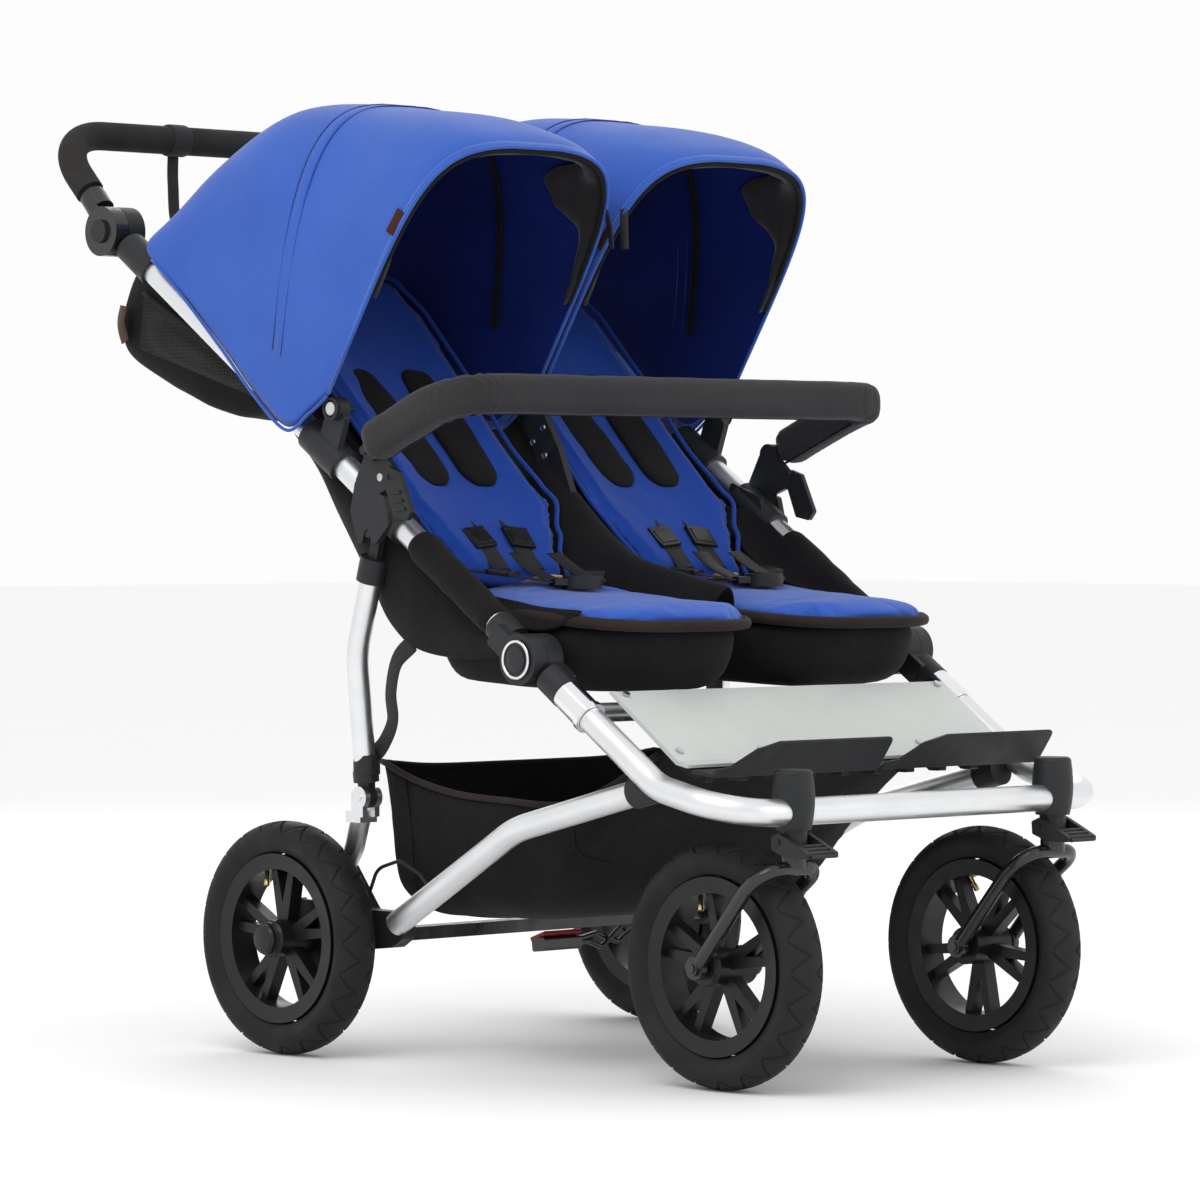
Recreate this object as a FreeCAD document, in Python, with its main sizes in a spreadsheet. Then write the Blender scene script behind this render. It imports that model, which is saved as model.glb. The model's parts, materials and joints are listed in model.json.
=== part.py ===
"""Twin all-terrain stroller: folding aluminium frame, two reclining seats, four air-tyred wheels.

Frame of the part: +Z up, -Y to the front, +X to the seated children's left, origin on the floor
under the middle of the bounding box. Every length is in millimetres.
"""
import FreeCAD, Part
import math
import os

from FreeCAD import Vector

# ---------------------------------------------------------------- driving dimensions
SIZES = [
    ("middle", 140.5, "distance from the design datum back to the origin"),
    ("tyre_diameter", 254, "ten inch air tyre"),
    ("tyre_width", 50, "tyre section"),
    ("tyre_wall", 5, "rubber thickness"),
    ("rim_radius", 92, "rim flange"),
    ("hub_radius", 20, "wheel hub"),
    ("hub_half", 30, "half width of a wheel hub"),
    ("spoke_depth", 16, "axial depth of the spokes"),
    ("spokes", 5, "double spokes in a wheel"),
    ("axle_radius", 5, "wheel axles"),
    ("running_gap", 0.05, "radial clearance of a turning fit"),
    ("rear_axle_back", 286, "rear axle from the datum"),
    ("rear_track_half", 280, "rear wheel centre plane"),
    ("front_track_half", 197, "caster centre plane"),
    ("stem_front", 397, "caster stem in front of the datum"),
    ("trail", 98, "caster trail"),
    ("fold_front", 103, "fold axis in front of the datum"),
    ("fold_height", 437, "fold axis above the floor"),
    ("slope", 34.3, "rise of the upper side tubes in degrees"),
    ("upper_length", 830, "fold axis to handle axis"),
    ("side_half", 280, "centre plane of the side tubes"),
    ("frame_tube", 28, "outer diameter of the frame tubes"),
    ("leg_tube", 24, "outer diameter of the rear leg tubes"),
    ("bar_tube", 16, "outer diameter of the cross bars"),
    ("tube_wall", 1.8, "wall of the aluminium tubes"),
    ("fork_tube", 15, "caster fork tube"),
    ("grip_diameter", 33, "foam grip"),
    ("handle_tube", 24, "handlebar tube"),
    ("disc_radius", 27, "fold hinge discs"),
    ("seat_inner", 20, "seat edge beside the middle of the stroller"),
    ("seat_outer", 256, "seat edge beside the frame"),
    ("recline_back", 90, "recline axis behind the datum"),
    ("recline_height", 498, "recline axis above the floor"),
    ("back_angle", 45, "rise of the seat backs in degrees"),
    ("back_length", 495, "length of a seat back"),
    ("back_thickness", 48, "thickness of a seat back"),
    ("dog_ring", 43, "radius of the notched brake ring on a rear hub"),
    ("dog_notches", 8, "notches in the brake ring"),
    ("canopy_skin", 2, "thickness of the canopy shell"),
    ("bow_radius", 4, "radius of a canopy bow"),
]

doc = FreeCAD.newDocument("twin_stroller")
sheet = doc.addObject("Spreadsheet::Sheet", "sizes")
for row, (alias, value, meaning) in enumerate(SIZES, start=1):
    sheet.set(f"A{row}", meaning)
    sheet.set(f"B{row}", str(value))
    sheet.setAlias(f"B{row}", alias)
doc.recompute()

NODES = []
RIGHT = -1
X_AXIS = Vector(1, 0, 0)
Y_AXIS = Vector(0, 1, 0)
Z_AXIS = Vector(0, 0, 1)


def size(alias):
    """The value of one driving dimension."""
    return float(sheet.get(alias))


SIDE = RIGHT * size("side_half")
SLOPE = math.radians(size("slope"))
FOLD_Y = -size("fold_front")
FOLD_Z = size("fold_height")


# ---------------------------------------------------------------- places
def at(x, y, z):
    """A point given from the design datum, in the part's own frame."""
    return Vector(x, y - size("middle"), z)


def along(distance, lift=0.0, x=None):
    """A point on the upper side tube's line, so far from the fold axis and lifted square to it."""
    y = FOLD_Y + distance * math.cos(SLOPE) - lift * math.sin(SLOPE)
    z = FOLD_Z + distance * math.sin(SLOPE) + lift * math.cos(SLOPE)
    return at(SIDE if x is None else x, y, z)


TUBE_LINE = along(1) - along(0)
FRONT_AXLE_Y = size("trail") - size("stem_front")
STEM_X = RIGHT * size("front_track_half")
LEVER_Y = -size("stem_front")
LEVER_Z = 258
WHEEL_Z = size("tyre_diameter") / 2


# ---------------------------------------------------------------- object makers
def add(kind, name, **properties):
    """A document object of one kind with its properties set."""
    made = doc.addObject(kind, name)
    for key, value in properties.items():
        setattr(made, key, value)
    return made


def bind(made, **expressions):
    """Bind properties of an object to expressions on the sheet."""
    for key, expression in expressions.items():
        made.setExpression(key, str(expression))
    return made


def facing(start, direction):
    """A placement at a point whose Z axis lies along a direction."""
    return FreeCAD.Placement(start, FreeCAD.Rotation(Z_AXIS, direction))


def rod(name, start, end, radius):
    """A round bar between two points; the radius is an expression."""
    made = add("Part::Cylinder", name, Placement=facing(start, end - start))
    made.Height = (end - start).Length
    return bind(made, Radius=radius)


def disc(name, x_from, x_to, centre, radius):
    """A disc square to X."""
    return rod(name, Vector(x_from, centre.y, centre.z), Vector(x_to, centre.y, centre.z), radius)


def block(name, low, high):
    """A box between two corners."""
    span = high - low
    made = add("Part::Box", name, Placement=FreeCAD.Placement(low, FreeCAD.Rotation()))
    return bind(made, Length=span.x, Width=span.y, Height=span.z)


def rounded_path(points, radius, closed=False):
    """Straight runs through the points, joined by tangent arcs of one radius."""
    count = len(points)
    starts = list(points)
    edges = []
    trims = []
    for index in range(count):
        if not closed and index in (0, count - 1):
            trims.append((points[index], points[index], None))
            continue
        here = starts[index]
        back = (starts[index - 1] - here).normalize()
        ahead = (starts[(index + 1) % count] - here).normalize()
        half = back.getAngle(ahead) / 2
        reach = radius / math.tan(half)
        middle = here + (back + ahead).normalize() * (radius / math.sin(half) - radius)
        trims.append((here + back * reach, here + ahead * reach, middle))
    for index in range(count if closed else count - 1):
        start = trims[index][1]
        end = trims[(index + 1) % count][0]
        if (end - start).Length > 1e-6:
            edges.append(Part.LineSegment(start, end).toShape())
        entry, leave, middle = trims[(index + 1) % count]
        if middle is not None:
            edges.append(Part.Arc(entry, middle, leave).toShape())
    return Part.Wire(edges)


def swept(name, path, diameter):
    """A solid round bar along a path object; the diameter is an expression."""
    first = path.Shape.OrderedEdges[0]
    start = first.valueAt(first.FirstParameter)
    tangent = first.tangentAt(first.FirstParameter)
    ring = add("Part::Circle", name + "_ring", Placement=facing(start, tangent))
    bind(ring, Radius=f"({diameter}) / 2")
    names = [f"Edge{number}" for number in range(1, len(path.Shape.Edges) + 1)]
    return add("Part::Sweep", name, Sections=[ring], Spine=(path, names), Solid=True, Frenet=False)


def tube(name, points, bend, diameter, wall=None):
    """A bent bar, or a bent tube where a wall is given."""
    path = add("Part::Feature", name + "_path", Shape=rounded_path(points, bend))
    outer = swept(name + "_outer", path, diameter)
    if wall is None:
        return outer
    bore = swept(name + "_bore", path, f"({diameter}) - 2 * ({wall})")
    return cut(name, outer, bore)


def slab(name, outline, x_from, x_to, corner):
    """A side outline of (y, z) points with rounded corners, given a width along X."""
    points = [at(x_from, y, z) for y, z in outline]
    wire = add("Part::Feature", name + "_outline", Shape=rounded_path(points, corner, closed=True))
    made = add("Part::Extrusion", name, Base=wire, DirMode="Custom", Dir=X_AXIS, Solid=True)
    made.LengthFwd = x_to - x_from
    return made


def fuse(name, *parts):
    return add("Part::MultiFuse", name, Shapes=list(parts))


def cut(name, base, tool):
    return add("Part::Cut", name, Base=base, Tool=tool)


def mirrored(name, source):
    """The left-hand twin of a right-hand piece."""
    return add("Part::Mirroring", name, Source=source, Base=Vector(0, 0, 0), Normal=X_AXIS)


def node(label, made):
    """Register a finished sub-part under its own label."""
    made.Label = label
    NODES.append(made)
    return made


def pair(label, right):
    """One sub-part made of a right-hand piece and its mirror image."""
    left = mirrored(label + "_left", right)
    return node(label, add("Part::Compound", label + "_pair", Links=[right, left]))


def twins(label, right):
    """Two sub-parts, right_LABEL and left_LABEL."""
    node("right_" + label, right)
    node("left_" + label, mirrored("left_" + label + "_twin", right))


# ---------------------------------------------------------------- chassis: tubes
def make_front_frame():
    """One tube from the right fold hinge round the front to the left one."""
    corner_y, corner_z = -397, 288
    knee_y, knee_z = -288, 311
    half = size("side_half")
    right_points = [along(-105), at(-half, knee_y, knee_z), at(-half, corner_y, corner_z)]
    left_points = [Vector(-point.x, point.y, point.z) for point in reversed(right_points)]
    bent = tube("front_tube", right_points + left_points, 62, "sizes.frame_tube", "sizes.tube_wall")
    stem_holes = [rod(f"stem_hole_{side}", at(side * STEM_X, corner_y, 260),
                      at(side * STEM_X, corner_y, 316),
                      "7") for side in (-1, 1)]
    node("front_frame", cut("front_tube_bored", bent, fuse("stem_holes", *stem_holes)))


def make_front_sleeves():
    """Chrome sleeves that carry the front tube into the hinge hubs."""
    sleeve = rod("front_sleeve_solid", along(-62), along(-104.5), "sizes.frame_tube / 2 + 2.5")
    collar = rod("front_sleeve_collar", along(-98), along(-104.5), "sizes.frame_tube / 2 + 4")
    pair("front_sleeves", fuse("front_sleeve", sleeve, collar))


def hinge_half(name, centre, x_from, x_to, sign, reach):
    """Half of a hinge: a disc and a socket for a tube that leaves along the side tube's line."""
    flat = disc(name + "_disc", x_from, x_to, centre, "sizes.disc_radius")
    direction = TUBE_LINE * sign
    socket = rod(name + "_socket", centre + direction * 32, centre + direction * reach,
                 "sizes.frame_tube / 2 + 3")
    normal = Vector(0, -direction.z, direction.y)
    corners = [centre + normal * 13, centre - normal * 13,
               centre - normal * 13 + direction * 48, centre + normal * 13 + direction * 48]
    for corner in corners:
        corner.x = x_from
    wire = add("Part::Feature", name + "_arm_outline", Shape=rounded_path(corners, 3, closed=True))
    arm = add("Part::Extrusion", name + "_arm", Base=wire, DirMode="Custom", Dir=X_AXIS, Solid=True)
    arm.LengthFwd = x_to - x_from
    return fuse(name, flat, socket, arm)


def lower_tube(name, diameter, wall=None):
    """A bar or tube along the right lower side tube's line."""
    return tube(name, [at(-262, -236, 303), at(-262, -57, 258), at(-243, 150, 147)], 140, diameter, wall)


def leg_stub(name, diameter):
    """A bar along the right leg stub's line."""
    return tube(name, [at(-262, 186, 262), at(-247, 214, 226), at(-234, 249, 196)], 60, diameter)


def make_lower_tubes():
    """The side tubes that run from the front frame down to the rear axle, and their clamps."""
    pair("lower_tubes", lower_tube("lower_tube", "sizes.frame_tube - 1", "sizes.tube_wall"))
    front = at(-262, -237, 303.3)
    line = (at(-262, -236, 303) - at(-262, -57, 258)).normalize()
    ring = rod("clamp_ring", front, front + line * 30, "sizes.frame_tube / 2 + 2.5")
    lug = rod("clamp_lug", at(-262, -254, 306), at(-278, -254, 322), "9")
    seat = rod("clamp_seat", along(-100), at(SIDE, -288, 311), "sizes.frame_tube / 2 + 0.05")
    pair("tube_clamps", cut("tube_clamp", fuse("tube_clamp_blank", ring, lug), seat))


def make_rear_axle():
    """The flat cross bar between the brackets, and the wheel axles on their castings."""
    half = size("rear_track_half")
    axle_y = size("rear_axle_back")
    bar = block("axle_bar_blank", at(-224.5, 152, 128), at(224.5, 176, 142))
    node("rear_axle", add("Part::Fillet", "axle_bar", Base=bar, Edges=[(e, 3, 3) for e in (2, 4, 6, 8)]))
    outline = [(140, 132), (158, 121), (262, 110), (302, 116), (302, 140), (262, 212), (238, 212),
               (196, 160), (140, 160)]
    plate = slab("bracket_plate", outline, -243, -225, 6)
    boss = disc("bracket_boss", -246, -225, at(0, axle_y, WHEEL_Z), "16")
    axle = disc("wheel_axle", -half - size("hub_half") - 4, -240, at(0, axle_y, WHEEL_Z),
                "sizes.axle_radius")
    nut = disc("wheel_axle_nut", -half - size("hub_half") - 8, -half - size("hub_half") - 1,
               at(0, axle_y, WHEEL_Z), "8")
    rod_bore = disc("rod_bore", -250, -220, at(0, 200, WHEEL_Z), "4 + sizes.running_gap")
    voids = fuse("bracket_voids", rod_bore, lower_tube("bracket_tube_seat", "sizes.frame_tube - 0.9"),
                 leg_stub("bracket_stub_seat", "sizes.leg_tube - 1.9"))
    pair("axle_brackets", cut("axle_bracket", fuse("bracket_blank", plate, boss, axle, nut), voids))


def make_leg_stubs():
    """The lower end of each rear leg: a clevis at the leg's pivot and a stub down to the bracket."""
    pivot = at(0, 177, 283)
    ears = [disc("ear_outer", -274, -267.3, pivot, "12"), disc("ear_inner", -256.7, -250, pivot, "12")]
    bridge = block("ear_bridge", at(-274, 174, 256), at(-250, 198, 268.5))
    sides = [block("ear_side_outer", at(-274, 170, 262), at(-267.3, 189, 283)),
             block("ear_side_inner", at(-256.7, 170, 262), at(-250, 189, 283))]
    pin = disc("leg_pin", -275.5, -248.5, pivot, "4")
    stub = leg_stub("stub_bar", "sizes.leg_tube - 2")
    pair("leg_stubs", fuse("leg_stub", *ears, *sides, bridge, pin, stub))


def make_seat_crossbar():
    node("seat_crossbar", rod("seat_bar", at(-250, -168, 383), at(250, -168, 383), "10"))


# ---------------------------------------------------------------- chassis: footrest
def foot_tray(name, x_low):
    """A curved tray whose front lip rises from its right end to a rounded corner at its left end."""
    x_high = x_low + 243
    curve = [(-301.5, 329), (-330, 326), (-354, 357.5), (-358, 357), (-333, 321.5), (-301.5, 324.5)]
    bent = slab(name + "_curve", curve, x_low, x_high, 1.5)
    front = [(x_low, 315), (x_high, 315), (x_high, 357.8), (x_low + 78, 357.8), (x_low + 48, 350),
             (x_low + 22, 332), (x_low, 329.5)]
    corners = [at(x, -360, z) for x, z in front]
    wire = add("Part::Feature", name + "_front", Shape=rounded_path(corners, 9, closed=True))
    trimmer = add("Part::Extrusion", name + "_trimmer", Base=wire, DirMode="Custom", Dir=Y_AXIS,
                  Solid=True)
    trimmer.LengthFwd = 60
    return add("Part::MultiCommon", name, Shapes=[bent, trimmer])


def make_footrest():
    """Silver plate, its ribbed black backing, two curved trays and the screws."""
    plate = slab("plate_bent", [(-190, 405), (-184, 404), (-283, 333), (-300, 330), (-301, 334),
                                (-286, 337)],
                 -250, 250, 0.8)
    node("footplate", plate)
    backing = slab("backing_slab", [(-186, 400), (-200, 386), (-286, 322), (-301, 320.5), (-301, 326),
                                    (-284, 331)],
                   -238, 238, 1.5)
    ribs = [slab(f"backing_rib_{number}", [(-214, 376), (-222, 362), (-286, 315), (-300, 315),
                                           (-300, 321), (-284, 324)],
                 -225 + 50 * number, -213 + 50 * number, 1.5) for number in range(9)]
    node("step_backing", fuse("backing", backing, *ribs))
    trays = [foot_tray(f"tray_{side}", x_low) for side, x_low in (("right", -248), ("left", 2))]
    node("foot_trays", add("Part::Compound", "tray_set", Links=trays))
    heads = []
    direction = (at(0, -184, 404) - at(0, -283, 333)).normalize()
    normal = Vector(0, -direction.z, direction.y)
    for number, (x, share) in enumerate([(-236, 0.92), (-236, 0.12), (-120, 0.1), (120, 0.1),
                                         (236, 0.12), (236, 0.92)]):
        start = at(x, -285.2, 337.4) + direction * (120 * share) + normal * 0.3
        heads.append(rod(f"screw_{number}", start, start + normal * 2.4, "4"))
    node("frame_screws", add("Part::Compound", "screws", Links=heads))


# ---------------------------------------------------------------- chassis: basket
def make_basket():
    """An open fabric bin between the lower tubes."""
    outer = slab("basket_outer", [(-222, 344), (-98, 240), (-40, 158), (198, 153), (216, 318),
                                  (60, 312)], -221, 221, 14)
    inner = slab("basket_inner", [(-212, 352), (-92, 246), (-35, 162), (193, 157), (210, 352)], -217,
                 217, 11)
    node("basket", cut("basket_bin", outer, inner))


# ---------------------------------------------------------------- casters
def turned(name, foot, outline):
    """A solid of revolution about a vertical axis; each three points of the outline make one arc."""
    points = [foot + Vector(-radius, 0, height) for radius, height in outline]
    arcs = [Part.Arc(*points[start:start + 3]).toShape() for start in range(0, len(points) - 2, 2)]
    low = Vector(foot.x, foot.y, points[0].z)
    high = Vector(foot.x, foot.y, points[-1].z)
    ends = [Part.makeLine(low, points[0]), Part.makeLine(points[-1], high), Part.makeLine(high, low)]
    wire = Part.Wire(Part.__sortEdges__(arcs + ends))
    section = add("Part::Feature", name + "_section", Shape=wire)
    return add("Part::Revolution", name, Source=section, Axis=Z_AXIS, Base=foot, Angle=360, Solid=True)


def make_caster_housings():
    """The barrel round the front tube that holds the stem, and the collar that carries the lever."""
    stem = at(STEM_X, -size("stem_front"), 0)

    def upright(name, low, high, radius):
        return rod(name, stem + Z_AXIS * low, stem + Z_AXIS * high, radius)

    barrel = turned("barrel", stem, [(18, 270), (21.8, 298), (19.8, 325), (18.8, 329), (14, 331)])
    collar = upright("stem_collar", 246, 272, "14")
    tube_gap = rod("saddle_gap", at(STEM_X - 30, -397, 288), at(STEM_X + 30, -397, 288),
                   "sizes.frame_tube / 2 + 0.05")
    pins = rod("lever_pins", at(STEM_X - 24, LEVER_Y, LEVER_Z), at(STEM_X + 24, LEVER_Y, LEVER_Z), "3")
    bore = upright("stem_bore", 240, 316, "6 + sizes.running_gap")
    blank = fuse("housing_blank", barrel, collar, pins)
    pair("caster_housings", cut("housing", cut("housing_seated", blank, tube_gap), bore))


def make_caster_levers():
    """The swivel lock: a hoop round the collar that slopes down to a ribbed lip at the front."""
    cheek = [(-388, 250), (-387, 263), (-397, 267.5), (-416, 259), (-438, 248.5), (-438, 243),
             (-408, 243)]
    cheeks = [slab(f"cheek_{side}", cheek, STEM_X + side * 19.5 - 3, STEM_X + side * 19.5 + 3, 2)
              for side in (-1, 1)]
    lip = slab("lever_lip", [(-442, 243), (-414, 243), (-416, 256), (-440, 246)],
               STEM_X - 18, STEM_X + 18, 1.5)
    ribs = []
    for number in range(3):
        y, z = -420 - 7 * number, 254.5 - 3 * number
        ribs.append(slab(f"lip_rib_{number}", [(y, z - 3), (y - 3, z - 4.2), (y - 3, z + 0.8),
                                               (y, z + 2)],
                         STEM_X - 17, STEM_X + 17, 0.6))
    bore = rod("lever_bore", at(STEM_X - 30, LEVER_Y, LEVER_Z), at(STEM_X + 30, LEVER_Y, LEVER_Z),
               "3 + sizes.running_gap")
    twins("caster_lever", cut("caster_lever_right", fuse("lever_blank", *cheeks, lip, *ribs), bore))


def make_forks():
    """A tube looped over the wheel from one axle end to the other, with its stem and axle."""
    spread = 40
    crown_z = 231
    shape = [at(-spread, FRONT_AXLE_Y - 3, 130), at(-spread, -368, 208),
             at(-spread, -size("stem_front"), crown_z)]
    shape += [Vector(-point.x, point.y, point.z) for point in reversed(shape)]
    points = [point + Vector(STEM_X, 0, 0) for point in shape]
    loop = tube("fork_loop", points, 24, "sizes.fork_tube")
    centre = at(STEM_X, -size("stem_front"), 0)
    crown = rod("fork_crown", centre + Z_AXIS * crown_z, centre + Z_AXIS * 245.5, "13")
    stem = rod("fork_stem", centre + Z_AXIS * crown_z, centre + Z_AXIS * 314, "6")
    axle_centre = at(0, FRONT_AXLE_Y, WHEEL_Z)
    eyes = [disc(f"fork_eye_{side}", STEM_X + side * spread - 4, STEM_X + side * spread + 4,
                 axle_centre, "12")
            for side in (-1, 1)]
    axle = disc("fork_axle", STEM_X - spread - 9, STEM_X + spread + 9, axle_centre, "sizes.axle_radius")
    nuts = [disc(f"fork_nut_{side}", STEM_X + side * (spread + 5.5) - 2,
                 STEM_X + side * (spread + 5.5) + 2,
                 axle_centre, "8") for side in (-1, 1)]
    twins("fork", fuse("fork_right", loop, crown, stem, axle, *eyes, *nuts))


# ---------------------------------------------------------------- wheels, built as bodies
def plane_of(body, role):
    """One of the body's own origin planes."""
    return next(item for item in body.Origin.OriginFeatures if item.Role == role)


def sketch_on(body, name, role):
    made = body.newObject("Sketcher::SketchObject", name)
    made.AttachmentSupport = (plane_of(body, role), [""])
    made.MapMode = "FlatFace"
    return made


def draw(sketch, corners):
    """A closed polygon of (x, y) corners in a sketch."""
    for index, start in enumerate(corners):
        end = corners[(index + 1) % len(corners)]
        sketch.addGeometry(Part.LineSegment(Vector(*start, 0), Vector(*end, 0)), False)


def revolve(body, name, sketch):
    made = body.newObject("PartDesign::Revolution", name)
    made.Profile = sketch
    made.ReferenceAxis = (sketch, ["V_Axis"])
    made.Angle = 360
    return made


def wheel_body(name, centre):
    """A body at a wheel centre whose own Z axis is the axle and points away from the stroller's middle."""
    outward = Vector(1 if centre.x > 0 else -1, 0, 0)
    body = doc.addObject("PartDesign::Body", name)
    body.Placement = FreeCAD.Placement(centre, FreeCAD.Rotation(Z_AXIS, outward))
    return body


def make_tyre(label, centre):
    """A hollow tyre with its mouth towards the rim."""
    body = wheel_body(label + "_body", centre)
    outer = size("tyre_diameter") / 2
    half = size("tyre_width") / 2
    wall = size("tyre_wall")
    inner = size("rim_radius") + 0.5
    sketch = sketch_on(body, label + "_section", "XZ_Plane")
    crown = outer - half + 2
    outline = [(inner, -15), (inner, -15 + wall), (crown - 10, -half + wall + 3),
               (crown + 4, -half + wall),
               (outer - wall, -9), (outer - wall, 9), (crown + 4, half - wall),
               (crown - 10, half - wall - 3),
               (inner, 15 - wall), (inner, 15), (crown - 10, half - 2), (crown + 2, half),
               (outer - 8, half - 6), (outer, 8), (outer, -8), (outer - 8, -half + 6), (crown + 2, -half),
               (crown - 10, -half + 2)]
    draw(sketch, outline)
    revolve(body, label + "_ring", sketch)
    node(label, body)


def make_rim(label, centre, notched):
    """Hub, five double spokes and rim; a rear rim has a notched ring for the brake on its inner side."""
    body = wheel_body(label + "_body", centre)
    hub_half = size("hub_half")
    hub = size("hub_radius")
    bore = size("axle_radius") + size("running_gap")
    hub_sketch = sketch_on(body, label + "_hub_section", "XZ_Plane")
    outline = [(bore, -hub_half), (hub, -hub_half), (hub, hub_half - 6), (hub - 5, hub_half - 0.5),
               (bore, hub_half - 0.5)]
    if notched:
        ring = size("dog_ring")
        outline[1:2] = [(28, -35.5), (ring, -35.5), (ring, -28.5), (hub, -26)]
        outline[0] = (bore, -33)
        outline.insert(1, (28, -33))
    draw(hub_sketch, outline)
    revolve(body, label + "_hub", hub_sketch)

    spoke_sketch = sketch_on(body, label + "_spoke_outline", "XY_Plane")
    inside = size("rim_radius") - 17
    draw(spoke_sketch, [(hub - 3, -8), (inside, -19), (inside + 1, -10), (38, 0), (inside + 1, 10),
                        (inside, 19), (hub - 3, 8)])
    spoke = body.newObject("PartDesign::Pad", label + "_spoke")
    spoke.Profile = spoke_sketch
    spoke.Midplane = True
    bind(spoke, Length="sizes.spoke_depth")
    pattern = body.newObject("PartDesign::PolarPattern", label + "_spokes")
    pattern.Originals = [spoke]
    pattern.Axis = (spoke_sketch, ["N_Axis"])
    pattern.Angle = 360
    bind(pattern, Occurrences="sizes.spokes")
    body.Tip = pattern

    rim_sketch = sketch_on(body, label + "_rim_section", "XZ_Plane")
    rim = size("rim_radius")
    draw(rim_sketch, [(rim - 17, -17), (rim, -19), (rim, -15.5), (rim - 9, -13), (rim - 12, -8),
                      (rim - 12, 8),
                      (rim - 9, 13), (rim, 15.5), (rim, 19), (rim - 17, 17)])
    revolve(body, label + "_rim", rim_sketch)

    if notched:
        notch_sketch = sketch_on(body, label + "_notch_outline", "XY_Plane")
        notch_sketch.AttachmentOffset = FreeCAD.Placement(Vector(0, 0, -20), FreeCAD.Rotation())
        draw(notch_sketch, [(39.5, -8.5), (44, -15.5), (50, -20), (50, 20), (44, 15.5), (39.5, 8.5)])
        notch = body.newObject("PartDesign::Pocket", label + "_notch")
        notch.Profile = notch_sketch
        notch.Type = "Length"
        notch.Length = 30
        doc.recompute()
        if notch.Shape.Volume > notch.BaseFeature.Shape.Volume - 1:
            raise SystemExit(label + ": the notch cuts nothing")
        ring_pattern = body.newObject("PartDesign::PolarPattern", label + "_notches")
        ring_pattern.Originals = [notch]
        ring_pattern.Axis = (notch_sketch, ["N_Axis"])
        ring_pattern.Angle = 360
        bind(ring_pattern, Occurrences="sizes.dog_notches")
        body.Tip = ring_pattern
    node(label, body)


def make_wheels():
    rear = size("rear_track_half")
    front = size("front_track_half")
    for side, sign in (("left", 1), ("right", -1)):
        rear_centre = at(sign * rear, size("rear_axle_back"), WHEEL_Z)
        front_centre = at(sign * front, FRONT_AXLE_Y, WHEEL_Z)
        make_tyre(f"rear_{side}_tyre", rear_centre)
        make_rim(f"rear_{side}_rim", rear_centre, notched=True)
        make_tyre(f"front_{side}_tyre", front_centre)
        make_rim(f"front_{side}_rim", front_centre, notched=False)


# ---------------------------------------------------------------- brake
def make_brake():
    """The pedal, its rod across the axle and a locking dog at each end, one welded piece."""
    centre_y = 200
    cross = rod("brake_rod", at(-252, centre_y, WHEEL_Z), at(252, centre_y, WHEEL_Z), "4")
    dogs = []
    for side in (-1, 1):
        low = side * 251 if side < 0 else 245
        outline = [(-4, -5), (40, -4.5), (46, -1.5), (46, 1.5), (40, 4.5), (-4, 5)]
        turn = math.radians(30)
        turned = [(centre_y + y * math.cos(turn) - z * math.sin(turn),
                   WHEEL_Z + y * math.sin(turn) + z * math.cos(turn))
                  for y, z in outline]
        dogs.append(slab(f"brake_dog_{side}", turned, low, low + 6, 1))
    wires = []
    for number, shift in enumerate((0, 26)):
        points = [at(176 - shift, centre_y + 1, WHEEL_Z), at(150 - shift, centre_y + 14, 102 - shift / 6),
                  at(118 - shift / 2, centre_y + 16, 114 - shift / 3), at(74, centre_y + 16, 106)]
        wires.append(tube(f"pedal_wire_{number}", points, 8, "6"))
    pad = slab("pedal_pad_blank", [(centre_y + 6, 99), (centre_y + 26, 97), (centre_y + 28, 112),
                                   (centre_y + 6, 114)],
               28, 86, 3)
    node("brake_pedal", fuse("brake", cross, *dogs, *wires, pad))


def make_brake_cable():
    """The thin cable from the right bracket up over the lower tube."""
    points = [at(-234, 206, 174), at(-232, 194, 204), at(-226, 164, 214), at(-226, 130, 200),
              at(-231, 106, 182)]
    node("brake_cable", tube("cable", points, 20, "4"))


# ---------------------------------------------------------------- seats
def seat_span():
    return -size("seat_outer"), -size("seat_inner")


def make_seat_bases():
    """Black shells under the seats and the padded cushions on them."""
    low, high = seat_span()
    shell = [(-190, 466), (-172, 403), (-60, 408), (108, 440), (122, 466)]
    twins("seat_base", slab("seat_shell", shell, low, high, 10))
    pad = [(-202, 467), (-198, 489), (48, 513), (60, 488), (60, 467)]
    twins("seat_pad", slab("seat_cushion", pad, low + 2, high - 2, 8))


def recline_point(distance, lift):
    """A (y, z) place on a seat back, along it and in front of its middle plane."""
    turn = math.radians(size("back_angle"))
    y = size("recline_back") + distance * math.cos(turn) - lift * math.sin(turn)
    z = size("recline_height") + distance * math.sin(turn) + lift * math.cos(turn)
    return y, z


def make_seat_backs():
    """Each back is a padded slab that turns on the seat hinge bar through its lower edge."""
    low, high = seat_span()
    half = size("back_thickness") / 2
    length = size("back_length")
    outline = [recline_point(0, -half), recline_point(length, -half + 10), recline_point(length, half),
               recline_point(0, half)]
    panel = slab("back_panel", outline, low, high, 0.5)
    axis = at(0, size("recline_back"), size("recline_height"))
    roll = disc("back_roll", low, high, axis, "sizes.back_thickness / 2")
    bore = disc("back_bore", low - 5, high + 5, axis, "sizes.bar_tube / 2 + sizes.running_gap")
    twins("seat_back", cut("seat_back_right", fuse("back_blank", panel, roll), bore))


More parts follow.
